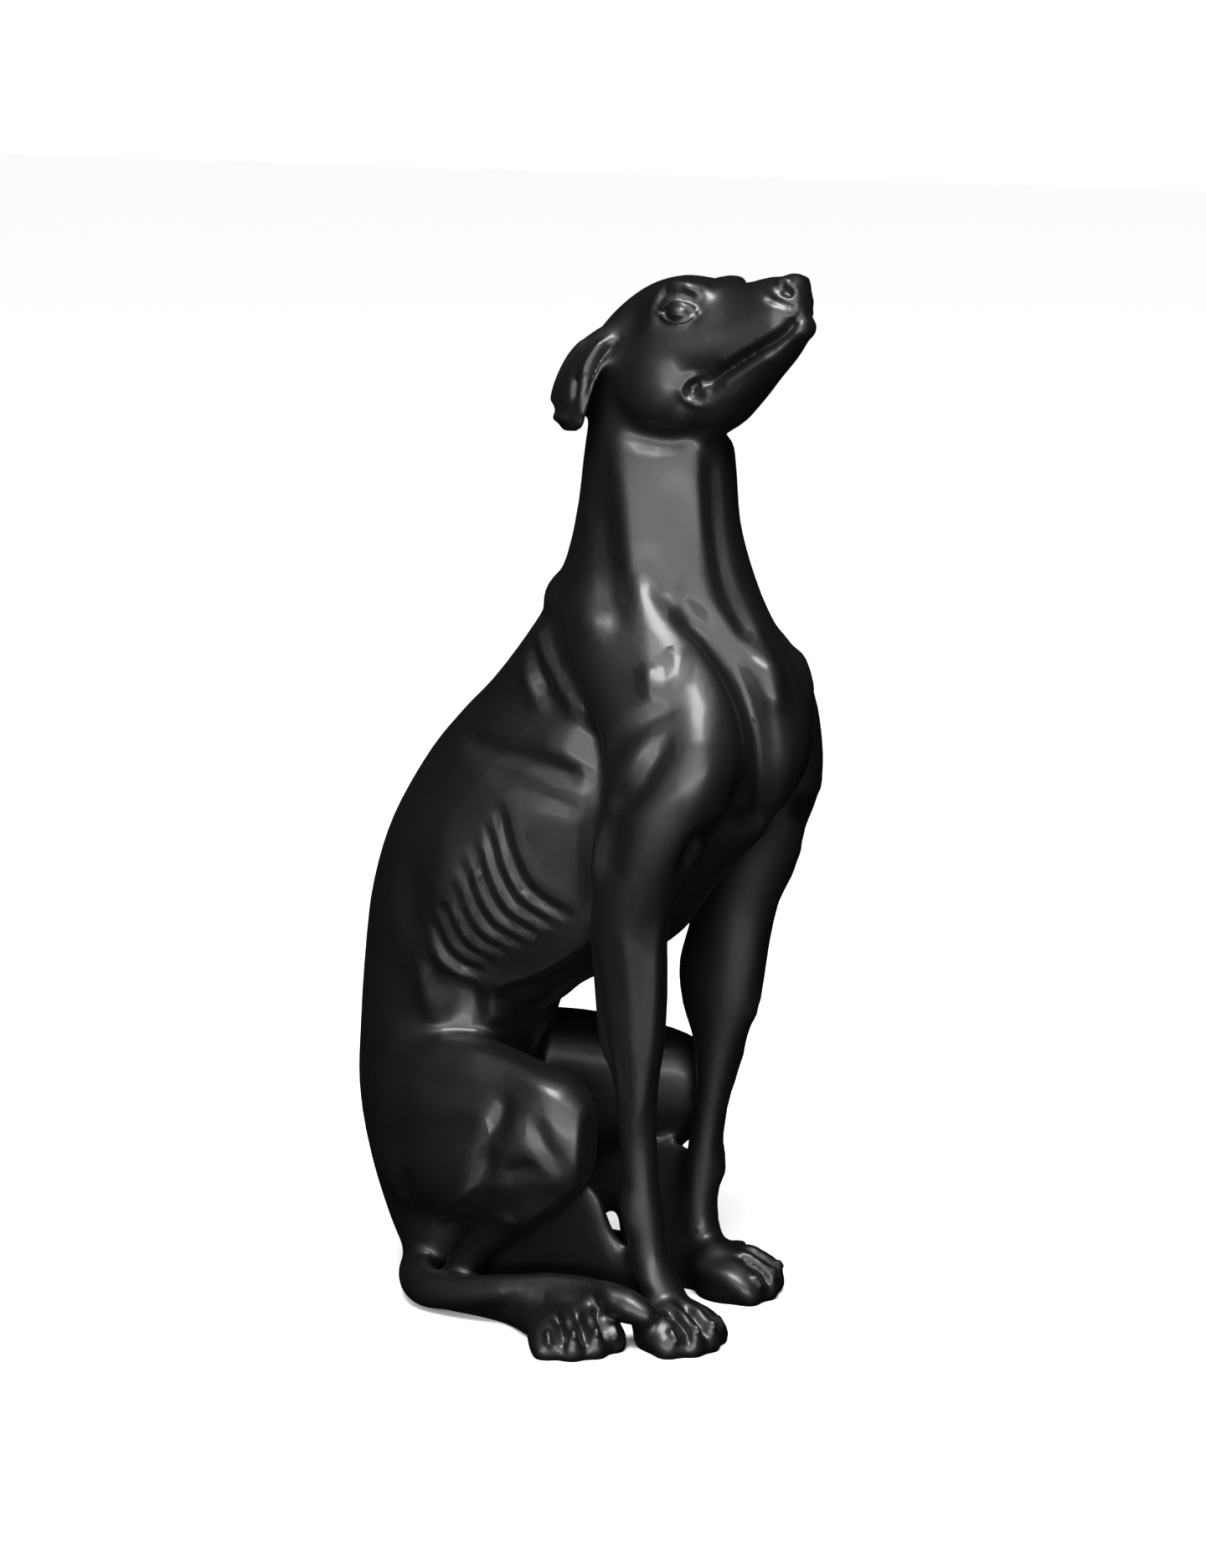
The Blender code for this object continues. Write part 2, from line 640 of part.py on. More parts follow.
def facet(whole, count):
    """Thins the skin to about count triangles, finest at the head."""
    group = whole.vertex_groups.new(name="coarse")
    co, _ = arrays(whole.data)
    weight = np.where(co[:, 2] > 655, 0.35, np.where(co[:, 2] < 45, 0.7, 1.0))
    for value in (0.35, 0.7, 1.0):
        group.add(np.where(weight == value)[0].tolist(), value, "REPLACE")
    thin = whole.modifiers.new("facets", "DECIMATE")
    thin.decimate_type = "COLLAPSE"
    thin.use_collapse_triangulate = True
    thin.ratio = count / (2 * len(whole.data.polygons))
    thin.vertex_group = "coarse"
    thin.vertex_group_factor = 0.5
    seen = bpy.context.evaluated_depsgraph_get()
    mesh = bpy.data.meshes.new_from_object(whole.evaluated_get(seen))
    whole.modifiers.clear()
    whole.vertex_groups.clear()
    whole.data = mesh
    return mesh


def stand(mesh):
    """Cuts the soles and the seat flat at the floor."""
    cut = bmesh.new()
    cut.from_mesh(mesh)
    everything = cut.verts[:] + cut.edges[:] + cut.faces[:]
    bmesh.ops.bisect_plane(
        cut, geom=everything, plane_co=(0, 0, 0), plane_no=(0, 0, 1), clear_inner=True
    )
    rim = [e for e in cut.edges if e.is_boundary]
    made = bmesh.ops.holes_fill(cut, edges=rim, sides=0)
    bmesh.ops.triangulate(cut, faces=made["faces"])
    bmesh.ops.recalc_face_normals(cut, faces=cut.faces[:])
    cut.to_mesh(mesh)
    cut.free()


def centre(mesh):
    """Sets the middle of the footprint over the origin."""
    co, _ = arrays(mesh)
    low, high = co.min(0), co.max(0)
    mesh.transform(Matrix.Translation((-(low[0] + high[0]) / 2, -(low[1] + high[1]) / 2, 0)))


def glaze():
    """Black glazed ceramic."""
    finish = bpy.data.materials.new("black glazed ceramic")
    finish.use_nodes = True
    skin = finish.node_tree.nodes["Principled BSDF"]
    skin.inputs["Base Color"].default_value = (0.012, 0.012, 0.011, 1)
    skin.inputs["Roughness"].default_value = 0.32
    return finish


def main():
    clear_scene()
    form = bmesh.new()
    spine(form)
    foreleg(form, -1, NEAR_LEAN, NEAR_STOUT)
    foreleg(form, 1, FAR_LEAN, FAR_STOUT)
    haunch(form, -1, 0, NEAR_WEB, NEAR_FOOT)
    haunch(form, 1, 4, FAR_WEB, FAR_FOOT)
    for paw in PAWS:
        add_paw(form, paw)
    egg(form, (0, 33, 530), (36, 26, 27))
    tail(form)
    head(form)
    mesh = cast(form, "greyhound")
    fillet(mesh, 24, 0.04)
    fillet(mesh, 5, 0.5)
    strokes = CHEST_AND_SHOULDER + FORELEGS + NECK + HAUNCH + list(ribs())
    cuts = [aim(stroke, side) for stroke in strokes + FACE for side in (-1, 1)]
    for paw in PAWS:
        cuts += paw_cuts(paw)
    carve(mesh, cuts)
    fillet(mesh, 1, 0.5)
    carve(mesh, [aim(stroke, side) for stroke in EYE for side in (-1, 1)])
    whole = bpy.data.objects.new("greyhound", mesh)
    kept = bpy.data.collections.new("greyhound statue")
    bpy.context.scene.collection.children.link(kept)
    kept.objects.link(whole)
    mesh = facet(whole, TRIANGLES)
    stand(mesh)
    centre(mesh)
    mesh.transform(Matrix.Scale(mm(1), 4))
    mesh.materials.append(glaze())
    mesh.shade_smooth()


main()
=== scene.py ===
"""Seated greyhound in black glazed ceramic, shown in a plain pale studio.

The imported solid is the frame. One finely carved skin stands for it: the same form, laid out in
millimetres with the dog facing -Y and its own left towards +X, with the carving that the solid's
coarse faces leave out.
"""

import logging
from collections.abc import Sequence
from dataclasses import dataclass
from enum import Enum
from math import cos, pi, radians, sin

import bmesh
import bpy
import numpy as np
from mathutils import Matrix, Vector
from mathutils.bvhtree import BVHTree


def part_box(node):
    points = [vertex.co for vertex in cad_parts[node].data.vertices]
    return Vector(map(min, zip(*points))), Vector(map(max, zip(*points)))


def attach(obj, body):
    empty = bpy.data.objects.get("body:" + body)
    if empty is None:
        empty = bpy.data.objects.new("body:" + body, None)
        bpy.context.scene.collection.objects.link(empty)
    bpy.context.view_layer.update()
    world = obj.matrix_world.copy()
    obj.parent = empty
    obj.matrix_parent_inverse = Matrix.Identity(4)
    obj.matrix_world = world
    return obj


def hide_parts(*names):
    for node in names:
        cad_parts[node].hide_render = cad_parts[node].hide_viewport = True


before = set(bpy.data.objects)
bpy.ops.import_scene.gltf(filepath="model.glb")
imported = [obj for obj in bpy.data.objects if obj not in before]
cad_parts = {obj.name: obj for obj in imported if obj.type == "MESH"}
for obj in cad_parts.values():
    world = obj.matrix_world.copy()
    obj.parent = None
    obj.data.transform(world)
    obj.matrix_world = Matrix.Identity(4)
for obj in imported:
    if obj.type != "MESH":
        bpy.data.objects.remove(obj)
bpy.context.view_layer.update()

LOG = logging.getLogger("greyhound")

# Points round a section, and sections from each ring to the next
RING_POINTS = 28
STEPS = 5
# Angles of the sections of a domed end, and the segments of an ellipsoid
DOME_ANGLES = (0.5, 1.0, 1.35, pi / 2)
EGG_SEGMENTS = (24, 16)
# Columns of a ring's row of numbers
MIDDLE, UP, ACROSS, EGG, SQUARE = slice(0, 3), slice(3, 6), slice(6, 9), 9, 10
# Millimetres across a voxel, and the triangles asked of the finished skin
VOXEL = 2.6
TRIANGLES = 192_000
# How strongly the coarse group steers where faces merge
COARSE_PULL = 0.6
# Metres left between the skin and the solid's box
SLACK = 0.0001
# Where along a ray that misses the skin its nearest point is sought
MISS = 0.72
# How many widths a stroke reaches, and the share of its length over which it runs out
REACH = 2.5
RUN_OUT = 0.3
# The share of height left at a stroke's end, and how it fades on skin turned away
END_SHARE = 0.25
TURNED = 1.5
# How squarely a vertex has to face the way that it is lifted
FACING = 0.15
# Points made from each point of a stroke to the next
STROKE_STEPS = 4
# How far off a ray starts, from the side, from the front and beside the head, and its reach
FROM_SIDE = 300.0
FROM_FRONT = 400.0
FRONT_REACH = 420.0
FROM_HEAD = 120.0
HEAD_REACH = 118.0
# A long distance, one too short to matter, and millimetres in a metre
FAR = 1e9
TINY = 1e-6
MM = 1000
# The dog's right and its left
SIDES = (-1, 1)

Place = tuple[float, float, float]
Spot = tuple[float, float]
Table = list[tuple[float, float]]


# Shaping


class Seen(Enum):
    """The direction that a carving line is drawn from."""

    SIDE = "side"
    FRONT = "front"
    HEAD = "head"


@dataclass(frozen=True)
class Ring:
    """One cross-section of a limb: its centre and its half-axes, in millimetres.

    egg widens it above and narrows it below, and square under 1 makes its corners fuller.
    """

    centre: Place
    up: Place
    side: Place
    egg: float = 0.0
    square: float = 1.0


@dataclass(frozen=True)
class Stroke:
    """A ridge, or with a height below 0 a groove, along a line of points.

    Seen from the side the points are (y, z), from the front (x, z), and on the head
    (forward, up) in the head's own frame.
    """

    height: float
    width: float
    points: list[Spot]
    seen: Seen = Seen.SIDE


@dataclass(frozen=True)
class Cut:
    """A stroke aimed at the skin: rays of start, direction and reach find its points."""

    height: float
    width: float
    rays: list[tuple[Vector, Vector, float]]

    def find(self, tree: BVHTree) -> tuple[np.ndarray, np.ndarray]:
        """Finds the line on the skin.

        Args:
            tree: The skin.

        Returns:
            The points of the line, and the skin's normals there.
        """
        spots = []
        for start, way, reach in self.rays:
            spot, normal, _, _ = tree.ray_cast(start, way, reach)
            if spot is None:
                spot, normal, _, _ = tree.find_nearest(start + way * reach * MISS)
            spots.append((spot, normal))
        return np.array([s for s, _ in spots]), np.array([n for _, n in spots])


def smooth_path(values: list, steps: int) -> np.ndarray:
    """Runs a smooth curve through rows of numbers.

    Args:
        values: The rows that the curve passes through.
        steps: How many points to make from each row to the next.

    Returns:
        The rows along the curve.
    """
    rows = np.asarray(values, float)
    ends = np.vstack([2 * rows[0] - rows[1], rows, 2 * rows[-1] - rows[-2]])
    out = []
    for a, b, c, d in zip(ends, ends[1:], ends[2:], ends[3:]):
        for t in np.arange(steps) / steps:
            bend = (2 * a - 5 * b + 4 * c - d) * t**2 + (3 * b - a - 3 * c + d) * t**3
            out.append(0.5 * (2 * b + (c - a) * t + bend))
    out.append(rows[-1])
    return np.array(out)


class Clay:
    """The lumps that the form is built up from, before they are made one skin."""

    def __init__(self) -> None:
        """Starts with nothing."""
        self.form = bmesh.new()

    def loft(self, rings: list[Ring], ends: Spot = (1.0, 1.0)) -> None:
        """Adds a closed skin over unlike rings, with domed ends.

        Args:
            rings: The cross-sections in order.
            ends: How far the first and the last dome stand out, as shares of the ring's radius.
        """
        table = [[*r.centre, *r.up, *r.side, r.egg, r.square] for r in rings]
        rows = smooth_path(table, STEPS)
        first = self._dome(rows[0], rows[1], ends[0])
        last = self._dome(rows[-1], rows[-2], ends[1])
        sections = [self._section(r, s) for r, s in reversed(first[:-1])]
        sections += [self._section(r, 1.0) for r in rows]
        sections += [self._section(r, s) for r, s in last[:-1]]
        made = [[self.form.verts.new(p) for p in points] for points in sections]
        faces = []
        for low, high in zip(made, made[1:]):
            for i in range(RING_POINTS):
                j = (i + 1) % RING_POINTS
                faces.append(self.form.faces.new((low[i], low[j], high[j], high[i])))
        for ring, pole in ((made[0], first[-1][0]), (made[-1], last[-1][0])):
            tip = self.form.verts.new(pole[MIDDLE])
            for i in range(RING_POINTS):
                faces.append(self.form.faces.new((ring[i], ring[(i + 1) % RING_POINTS], tip)))
        bmesh.ops.recalc_face_normals(self.form, faces=faces)

    @staticmethod
    def _section(row: np.ndarray, size: float) -> np.ndarray:
        """Gives the points round one section, a row of a ring's values, at a size."""
        turn = np.arange(RING_POINTS) * 2 * pi / RING_POINTS
        high = np.sign(np.cos(turn)) * np.abs(np.cos(turn)) ** row[SQUARE]
        wide = np.sign(np.sin(turn)) * np.abs(np.sin(turn)) ** row[SQUARE]
        wide = wide * (1 + row[EGG] * high)
        return row[MIDDLE] + size * (high[:, None] * row[UP] + wide[:, None] * row[ACROSS])

    @staticmethod
    def _dome(end: np.ndarray, inner: np.ndarray, reach: float) -> list:
        """Gives the sections of a domed end as pairs of row and size, with the pole last."""
        out = end[MIDDLE] - inner[MIDDLE]
        out = out / np.linalg.norm(out)
        reach = reach * min(np.linalg.norm(end[UP]), np.linalg.norm(end[ACROSS]))
        rows = []
        for angle in DOME_ANGLES:
            row = end.copy()
            row[MIDDLE] = end[MIDDLE] + out * reach * sin(angle)
            rows.append((row, cos(angle)))
        return rows

    def tube(
        self,
        points: Sequence[Place],
        radii: Sequence[float | Spot],
        flat: float = 1.0,
        side: Place = (1, 0, 0),
    ) -> None:
        """Adds a tube along points.

        Args:
            points: The centre line.
            radii: A radius, or a pair of half-depth and half-width, at each point.
            flat: What a single radius is multiplied by along the side direction.
            side: The direction that the tube's width lies along.
        """
        line = [Vector(p) for p in points]
        rings = []
        for i, (p, r) in enumerate(zip(line, radii)):
            ahead = line[min(i + 1, len(line) - 1)] - line[max(i - 1, 0)]
            across = Vector(side)
            across = (across - ahead * (across.dot(ahead) / ahead.length_squared)).normalized()
            up = ahead.normalized().cross(across)
            deep, wide = (r, r * flat) if isinstance(r, (int, float)) else r
            rings.append(Ring(tuple(p), tuple(up * deep), tuple(across * wide)))
        self.loft(rings)

    def egg(self, centre: Place, radii: Place, turn: Matrix | None = None) -> None:
        """Adds an ellipsoid.

        Args:
            centre: Its middle.
            radii: Its three half-axes.
            turn: A 3 by 3 rotation, or nothing.
        """
        turned = turn.to_4x4() if turn else Matrix()
        place = Matrix.Translation(centre) @ turned @ Matrix.Diagonal((*radii, 1))
        round_it, up_it = EGG_SEGMENTS
        bmesh.ops.create_uvsphere(
            self.form, u_segments=round_it, v_segments=up_it, radius=1, matrix=place
        )

    def fire(self, name: str) -> bpy.types.Object:
        """Makes all lumps one closed skin.

        Args:
            name: The name of the object to make.

        Returns:
            The object, linked to the scene and active.
        """
        mesh = bpy.data.meshes.new(name)
        self.form.to_mesh(mesh)
        self.form.free()
        whole = bpy.data.objects.new(name, mesh)
        bpy.context.scene.collection.objects.link(whole)
        bpy.ops.object.select_all(action="DESELECT")
        whole.select_set(True)
        bpy.context.view_layer.objects.active = whole
        grid = whole.modifiers.new("one skin", "REMESH")
        grid.mode = "VOXEL"
        grid.voxel_size = VOXEL
        bpy.ops.object.modifier_apply(modifier=grid.name)
        return whole


class Skin:
    """The statue's skin while it is smoothed and carved."""

    def __init__(self, whole: bpy.types.Object) -> None:
        """Takes the object whose mesh is worked on."""
        self.whole = whole

    @property
    def mesh(self) -> bpy.types.Mesh:
        """The mesh as it is now."""
        return self.whole.data

    @staticmethod
    def _read(items: bpy.types.bpy_prop_collection, name: str, width: int, kind: type) -> np.ndarray:
        """Reads an attribute of all items as rows of numbers."""
        out = np.empty(len(items) * width, kind)
        items.foreach_get(name, out)
        return out.reshape(-1, width)

    def places(self) -> np.ndarray:
        """Reads where the vertices are."""
        return self._read(self.mesh.vertices, "co", 3, np.float32).astype(float)

    def facing(self) -> np.ndarray:
        """Reads the vertices' normals."""
        return self._read(self.mesh.vertex_normals, "vector", 3, np.float32).astype(float)

    def middles(self) -> np.ndarray:
        """Reads the middle of each face."""
        return self._read(self.mesh.polygons, "center", 3, np.float32).astype(float)

    def edges(self) -> np.ndarray:
        """Reads each edge's pair of vertices."""
        return self._read(self.mesh.edges, "vertices", 2, np.int32)

    def put(self, co: np.ndarray) -> None:
        """Moves the vertices to these places."""
        self.mesh.vertices.foreach_set("co", co.astype(np.float32).ravel())
        self.mesh.update()

    def fillet(
        self, rounds: int, all_over: float, fill: float = 0.7, where: np.ndarray | None = None
    ) -> None:
        """Fills the hollows between lumps, as a wet finger does.

        Args:
            rounds: How many times the skin is gone over.
            all_over: The share of each vertex's way to its neighbours' mean on swellings.
            fill: The same share in hollows.
            where: True for each vertex to move, or nothing for all.
        """
        co, edges = self.places(), self.edges()
        size = len(co)
        count = np.bincount(edges.ravel(), minlength=size)[:, None]
        for _ in range(rounds):
            mean = np.empty_like(co)
            for k in range(3):
                mean[:, k] = np.bincount(edges[:, 0], co[edges[:, 1], k], size)
                mean[:, k] += np.bincount(edges[:, 1], co[edges[:, 0], k], size)
            pull = mean / count - co
            inwards = (pull * self.facing()).sum(1) < 0
            share = np.where(inwards, all_over, fill)
            if where is not None:
                share = share * where
            co = co + pull * share[:, None]
            self.put(co)

    def refine(self, wanted: np.ndarray) -> None:
        """Cuts each chosen face in four.

        Args:
            wanted: True for each face to cut.
        """
        bpy.context.tool_settings.mesh_select_mode = (False, False, True)
        bpy.ops.object.mode_set(mode="EDIT")
        bpy.ops.mesh.select_all(action="DESELECT")
        bpy.ops.object.mode_set(mode="OBJECT")
        self.mesh.polygons.foreach_set("select", wanted)
        bpy.ops.object.mode_set(mode="EDIT")
        bpy.ops.mesh.subdivide(number_cuts=1, smoothness=0)
        bpy.ops.object.mode_set(mode="OBJECT")

    def carve(self, cuts: list[Cut]) -> None:
        """Raises or cuts the skin along lines, whose ends run out.

        Args:
            cuts: The lines to carve.
        """
        co, out = self.places(), self.facing()
        tree = BVHTree.FromPolygons(
            [tuple(v) for v in co], [tuple(p.vertices) for p in self.mesh.polygons]
        )
        move = np.zeros(len(co))
        for cut in cuts:
            self._carve_one(cut, cut.find(tree), co, out, move)
        self.put(co + out * move[:, None])

    @staticmethod
    def _carve_one(
        cut: Cut, traced: tuple, co: np.ndarray, out: np.ndarray, move: np.ndarray
    ) -> None:
        """Adds one line's share to how far each vertex moves.

        Args:
            cut: The line.
            traced: Its line on the skin, and the skin's normals there.
            co: Where the vertices are.
            out: Their normals.
            move: How far each moves along its normal, which this adds to.
        """
        line, facing = traced
        margin = REACH * cut.width
        inside = (co > line.min(0) - margin) & (co < line.max(0) + margin)
        near = np.where(inside.all(1))[0]
        legs = np.linalg.norm(np.diff(line, axis=0), axis=1)
        start = np.concatenate([[0], np.cumsum(legs)])
        best = np.full(len(near), FAR)
        along = np.zeros(len(near))
        agree = np.zeros(len(near))
        for i, leg in enumerate(legs):
            if leg < TINY:
                continue
            way = (line[i + 1] - line[i]) / leg
            t = np.clip((co[near] - line[i]) @ way, 0, leg)
            gap = np.linalg.norm(co[near] - line[i] - t[:, None] * way, axis=1)
            closer = gap < best
            best = np.where(closer, gap, best)
            along = np.where(closer, start[i] + t, along)
            agree = np.where(closer, out[near] @ facing[i], agree)
        run_out = max(min(RUN_OUT * start[-1], margin), TINY)
        share = np.clip(np.minimum(along, start[-1] - along) / run_out, 0, 1)
        fade = END_SHARE + (1 - END_SHARE) * share * share * (3 - 2 * share)
        if start[-1] < margin:
            fade = np.ones(len(near))
        depth = cut.height * np.exp(-((best / cut.width) ** 2))
        move[near] += depth * fade * np.clip(agree * TURNED, 0, 1)

    def press_out(self, centre: Vector, radii: Place, turn: Matrix, way: Vector) -> None:
        """Lifts the skin onto an ellipsoid where the ellipsoid stands in front of it.

        Args:
            centre: The ellipsoid's middle.
            radii: Its half-axes.
            turn: Its rotation.
            way: The direction in which the skin is lifted.
        """
        co, out = self.places(), self.facing()
        to_unit = np.array(Matrix.Diagonal([1 / r for r in radii]) @ turn.transposed())
        p = (co - np.array(centre)) @ to_unit.T
        d = to_unit @ np.array(way)
        b = p @ d
        c = (p * p).sum(1) - 1
        inner = (c < 0) & (out @ np.array(way) > FACING)
        reach = (-b + np.sqrt(np.maximum(b * b - (d @ d) * c, 0))) / (d @ d)
        self.put(co + np.where(inner, reach, 0)[:, None] * np.array(way))

    def thin(self, count: int, keep: np.ndarray) -> None:
        """Merges faces where the skin is plainest.

        Args:
            count: About how many triangles to leave.
            keep: For each vertex, 0 to keep the finest faces and 1 for the coarsest.
        """
        group = self.whole.vertex_groups.new(name="coarse")
        for value in np.unique(keep):
            group.add(np.where(keep == value)[0].tolist(), float(value), "REPLACE")
        self.mesh.calc_loop_triangles()
        collapse = self.whole.modifiers.new("fewer faces", "DECIMATE")
        collapse.ratio = min(1.0, count / len(self.mesh.loop_triangles))
        collapse.use_collapse_triangulate = True
        collapse.vertex_group = group.name
        collapse.vertex_group_factor = COARSE_PULL
        bpy.ops.object.modifier_apply(modifier=collapse.name)
        self.whole.vertex_groups.clear()

    def stand(self) -> None:
        """Cuts the soles and the seat flat at the floor."""
        bpy.ops.object.mode_set(mode="EDIT")
        bpy.ops.mesh.select_all(action="SELECT")
        bpy.ops.mesh.bisect(
            plane_co=(0, 0, 0), plane_no=(0, 0, 1), use_fill=True, clear_inner=True
        )
        bpy.ops.mesh.select_all(action="SELECT")
        bpy.ops.mesh.quads_convert_to_tris()
        bpy.ops.mesh.normals_make_consistent(inside=False)
        bpy.ops.object.mode_set(mode="OBJECT")

    def settle(self, low: Vector, high: Vector) -> None:
        """Brings the skin from millimetres into the solid's own box.

        Args:
            low: The box's lowest corner in metres.
            high: Its highest corner.
        """
        co = self.places()
        floor, top = co.min(0), co.max(0)
        size = (np.array(high) - np.array(low) - 2 * SLACK) / (top - floor)
        placed = np.array(low) + SLACK + (co - floor) * size
        placed[:, 2] -= SLACK
        self.put(placed)
        LOG.info("scale from millimetres %s", np.round(size * MM, 4).tolist())


# The dog


@dataclass
class Spine:
    """Rump, rib cage and neck."""

    # y and z of the back line, y and z of the front line, half-width, and how egg-shaped
    rings: tuple = (
        (168, 4, 100, 0, 52, 0), (189, 46, 88, 40, 66, 0), (207, 98, 82, 85, 74, 0),
        (218, 150, 85, 135, 73, 0), (219, 200, 78, 185, 67, 0), (215, 253, 45, 232, 71, 0),
        (205, 307, -8, 262, 83, 0.06), (185, 362, -48, 287, 88, 0.14),
        (154, 412, -82, 332, 87, 0.18), (126, 445, -127, 380, 82, 0.18),
        (98, 474, -153, 430, 73, 0.12), (63, 521, -146, 486, 61, 0),
        (42, 562, -113, 541, 52, 0), (31, 603, -96, 590, 47.5, 0), (25, 648, -91, 632, 45, 0),
        (15, 692, -86, 672, 42, 0), (-5, 726, -72, 700, 34, 0),
    )
    withers: Place = (0, 33, 530)
    withers_radii: Place = (36, 26, 27)

    def build(self, clay: Clay) -> None:
        """Adds the trunk and the withers to the clay."""
        rings = []
        for back_y, back_z, front_y, front_z, wide, egg in self.rings:
            centre = (0, (back_y + front_y) / 2, (back_z + front_z) / 2)
            up = (0, (back_y - front_y) / 2, (back_z - front_z) / 2)
            rings.append(Ring(centre, up, (wide, 0, 0), egg))
        clay.loft(rings)
        clay.egg(self.withers, self.withers_radii)


@dataclass
class Foreleg:
    """Shoulder blade, upper arm, forearm and pastern of one foreleg."""

    side: int
    lean: Table
    stout: Table

    # height, distance from the middle, half-depth and half-width
    rings = (
        (556, 34, 36, 18), (530, 42, 56, 24), (500, 50, 63, 30), (470, 58, 61, 34),
        (440, 64, 57, 36), (410, 69, 52, 35), (380, 72, 46, 33), (350, 74, 38, 29),
        (325, 73, 32, 26), (302, 71, 28, 23), (279, 69, 25.5, 21), (248, 67, 24.5, 19),
        (217, 66, 22, 17), (190, 65, 16.5, 14.5), (155, 64.5, 13.4, 13.5), (123, 64, 12.8, 13),
        (92, 63, 13.5, 13.5), (60, 62, 14, 14.5), (36, 62, 16, 16), (20, 63, 15, 16),
    )

    def build(self, clay: Clay) -> None:
        """Adds the leg to the clay."""
        rings = []
        for z, x, deep, wide in self.rings:
            centre = (self.side * x, self._at(self.lean, z), z)
            rings.append(Ring(centre, (0, deep * self._at(self.stout, z), 0), (wide, 0, 0)))
        clay.loft(rings)

    @staticmethod
    def _at(table: Table, z: float) -> float:
        """Reads a table of height and value at a height."""
        return float(np.interp(-z, [-row[0] for row in table], [row[1] for row in table]))


NEAR_LEAN = [
    (556, -22), (530, -31), (500, -47), (470, -66), (440, -77), (410, -76), (380, -69),
    (350, -59), (325, -52), (302, -47), (279, -47), (248, -47), (217, -47), (186, -50),
    (155, -51), (123, -53), (92, -56), (60, -60), (36, -70), (20, -80),
]
FAR_LEAN = [
    (556, -22), (530, -31), (500, -47), (470, -64), (440, -69), (410, -76), (380, -79),
    (350, -77), (325, -69), (302, -60), (279, -54), (248, -48), (217, -47), (186, -47),
    (155, -44), (123, -39), (92, -36), (60, -33), (36, -36), (20, -46),
]
NEAR_STOUT = [(325, 1), (279, 1.16), (217, 1.16), (186, 1.08), (20, 1.06)]
FAR_STOUT = [
    (350, 1), (302, 1.2), (250, 1.42), (217, 1.36), (190, 1.2), (155, 1.06), (20, 1.04),
]


@dataclass
class Paw:
    """Four short toes with nails on a flat sole."""

    at: Place
    heading: float
    wide: float = 1.0
    tall: float = 1.0

    # distance across, how far the toe reaches ahead, how high it stands
    toes = ((-23.5, 17, 23), (-8, 26, 28), (8, 26, 28), (23.5, 17, 23))
    toe_radii = (9, 11, 11.5, 11)
    # the middles, ahead, aside and up, and the half-axes of the two lumps under the toes
    pad_at = (0, 0, 5)
    pad = (31, 32, 17)
    heel_at = (-14, 0, 15)
    heel = (21, 22, 19)
    # distance across of the gaps between the toes
    gaps = (-16, 0, 16)
    # height and width, then the first and last angle above the floor and the number of rays
    gap_cut = (-5.5, 3.2, 74, 6, 8)
    nail_cut = (3.2, 2.8, 30, 16, 3)
    knuckle_cut = (1.5, 6.0, 80, 50, 4)
    # where rays meet, ahead and up, how far off they start, and how near together at the top
    fan_ahead = -2
    fan_height = 6
    fan_reach = 80.0
    fan_top = 0.75

    @property
    def turn(self) -> Matrix:
        """The paw's rotation."""
        return Matrix.Rotation(radians(self.heading), 3, "Z")

    def put(self, ahead: float, aside: float, z: float) -> Vector:
        """Gives a place ahead of the paw's middle and aside of it."""
        return Vector(self.at) + self.turn @ Vector((aside * self.wide, -ahead, z * self.tall))

    def build(self, clay: Clay) -> None:
        """Adds the paw to the clay."""
        turn, put = self.turn, self.put
        across = tuple(turn @ Vector((1, 0, 0)))
        wide, deep, tall = self.pad
        clay.egg(put(*self.pad_at), (wide * self.wide, deep, tall * self.tall), turn)
        wide, deep, tall = self.heel
        clay.egg(put(*self.heel_at), (wide, deep, tall * self.tall), turn)
        for q, reach, high in self.toes:
            # from the wrist over the knuckles down to the nail
            line = [
                put(-22, q * 0.6, high - 6),
                put(reach - 18, q * 0.92, high - 8),
                put(reach - 4, q, high - 14),
                put(reach, q, 6),
            ]
            clay.tube(line, self.toe_radii, side=across)

    def cuts(self) -> list[Cut]:
        """Aims the gaps between the toes, the nails and the knuckles at the skin."""
        made = [self._fan(gap, *self.gap_cut) for gap in self.gaps]
        for aside, _, _ in self.toes:
            made.append(self._fan(aside, *self.nail_cut))
            made.append(self._fan(aside, *self.knuckle_cut))
        return made

    def _fan(
        self, aside: float, height: float, width: float, first: float, last: float, count: int
    ) -> Cut:
        """Aims a cut at the paw's middle, its rays fanned from one angle to another.

        Args:
            aside: How far aside of the paw's middle the fan stands at the front.
            height: The cut's height.
            width: Its width.
            first: The first ray's angle above the floor in degrees.
            last: The last ray's.
            count: How many rays to aim.

        Returns:
            The cut.
        """
        rays = []
        for angle in np.radians(np.linspace(first, last, count)):
            spread = self.fan_top + (1 - self.fan_top) * cos(angle)
            target = self.put(self.fan_ahead, aside * spread, self.fan_height)
            away = self.turn @ Vector((0, -cos(angle), sin(angle)))
            rays.append((target + away * self.fan_reach, -away, self.fan_reach))
        return Cut(height, width, rays)


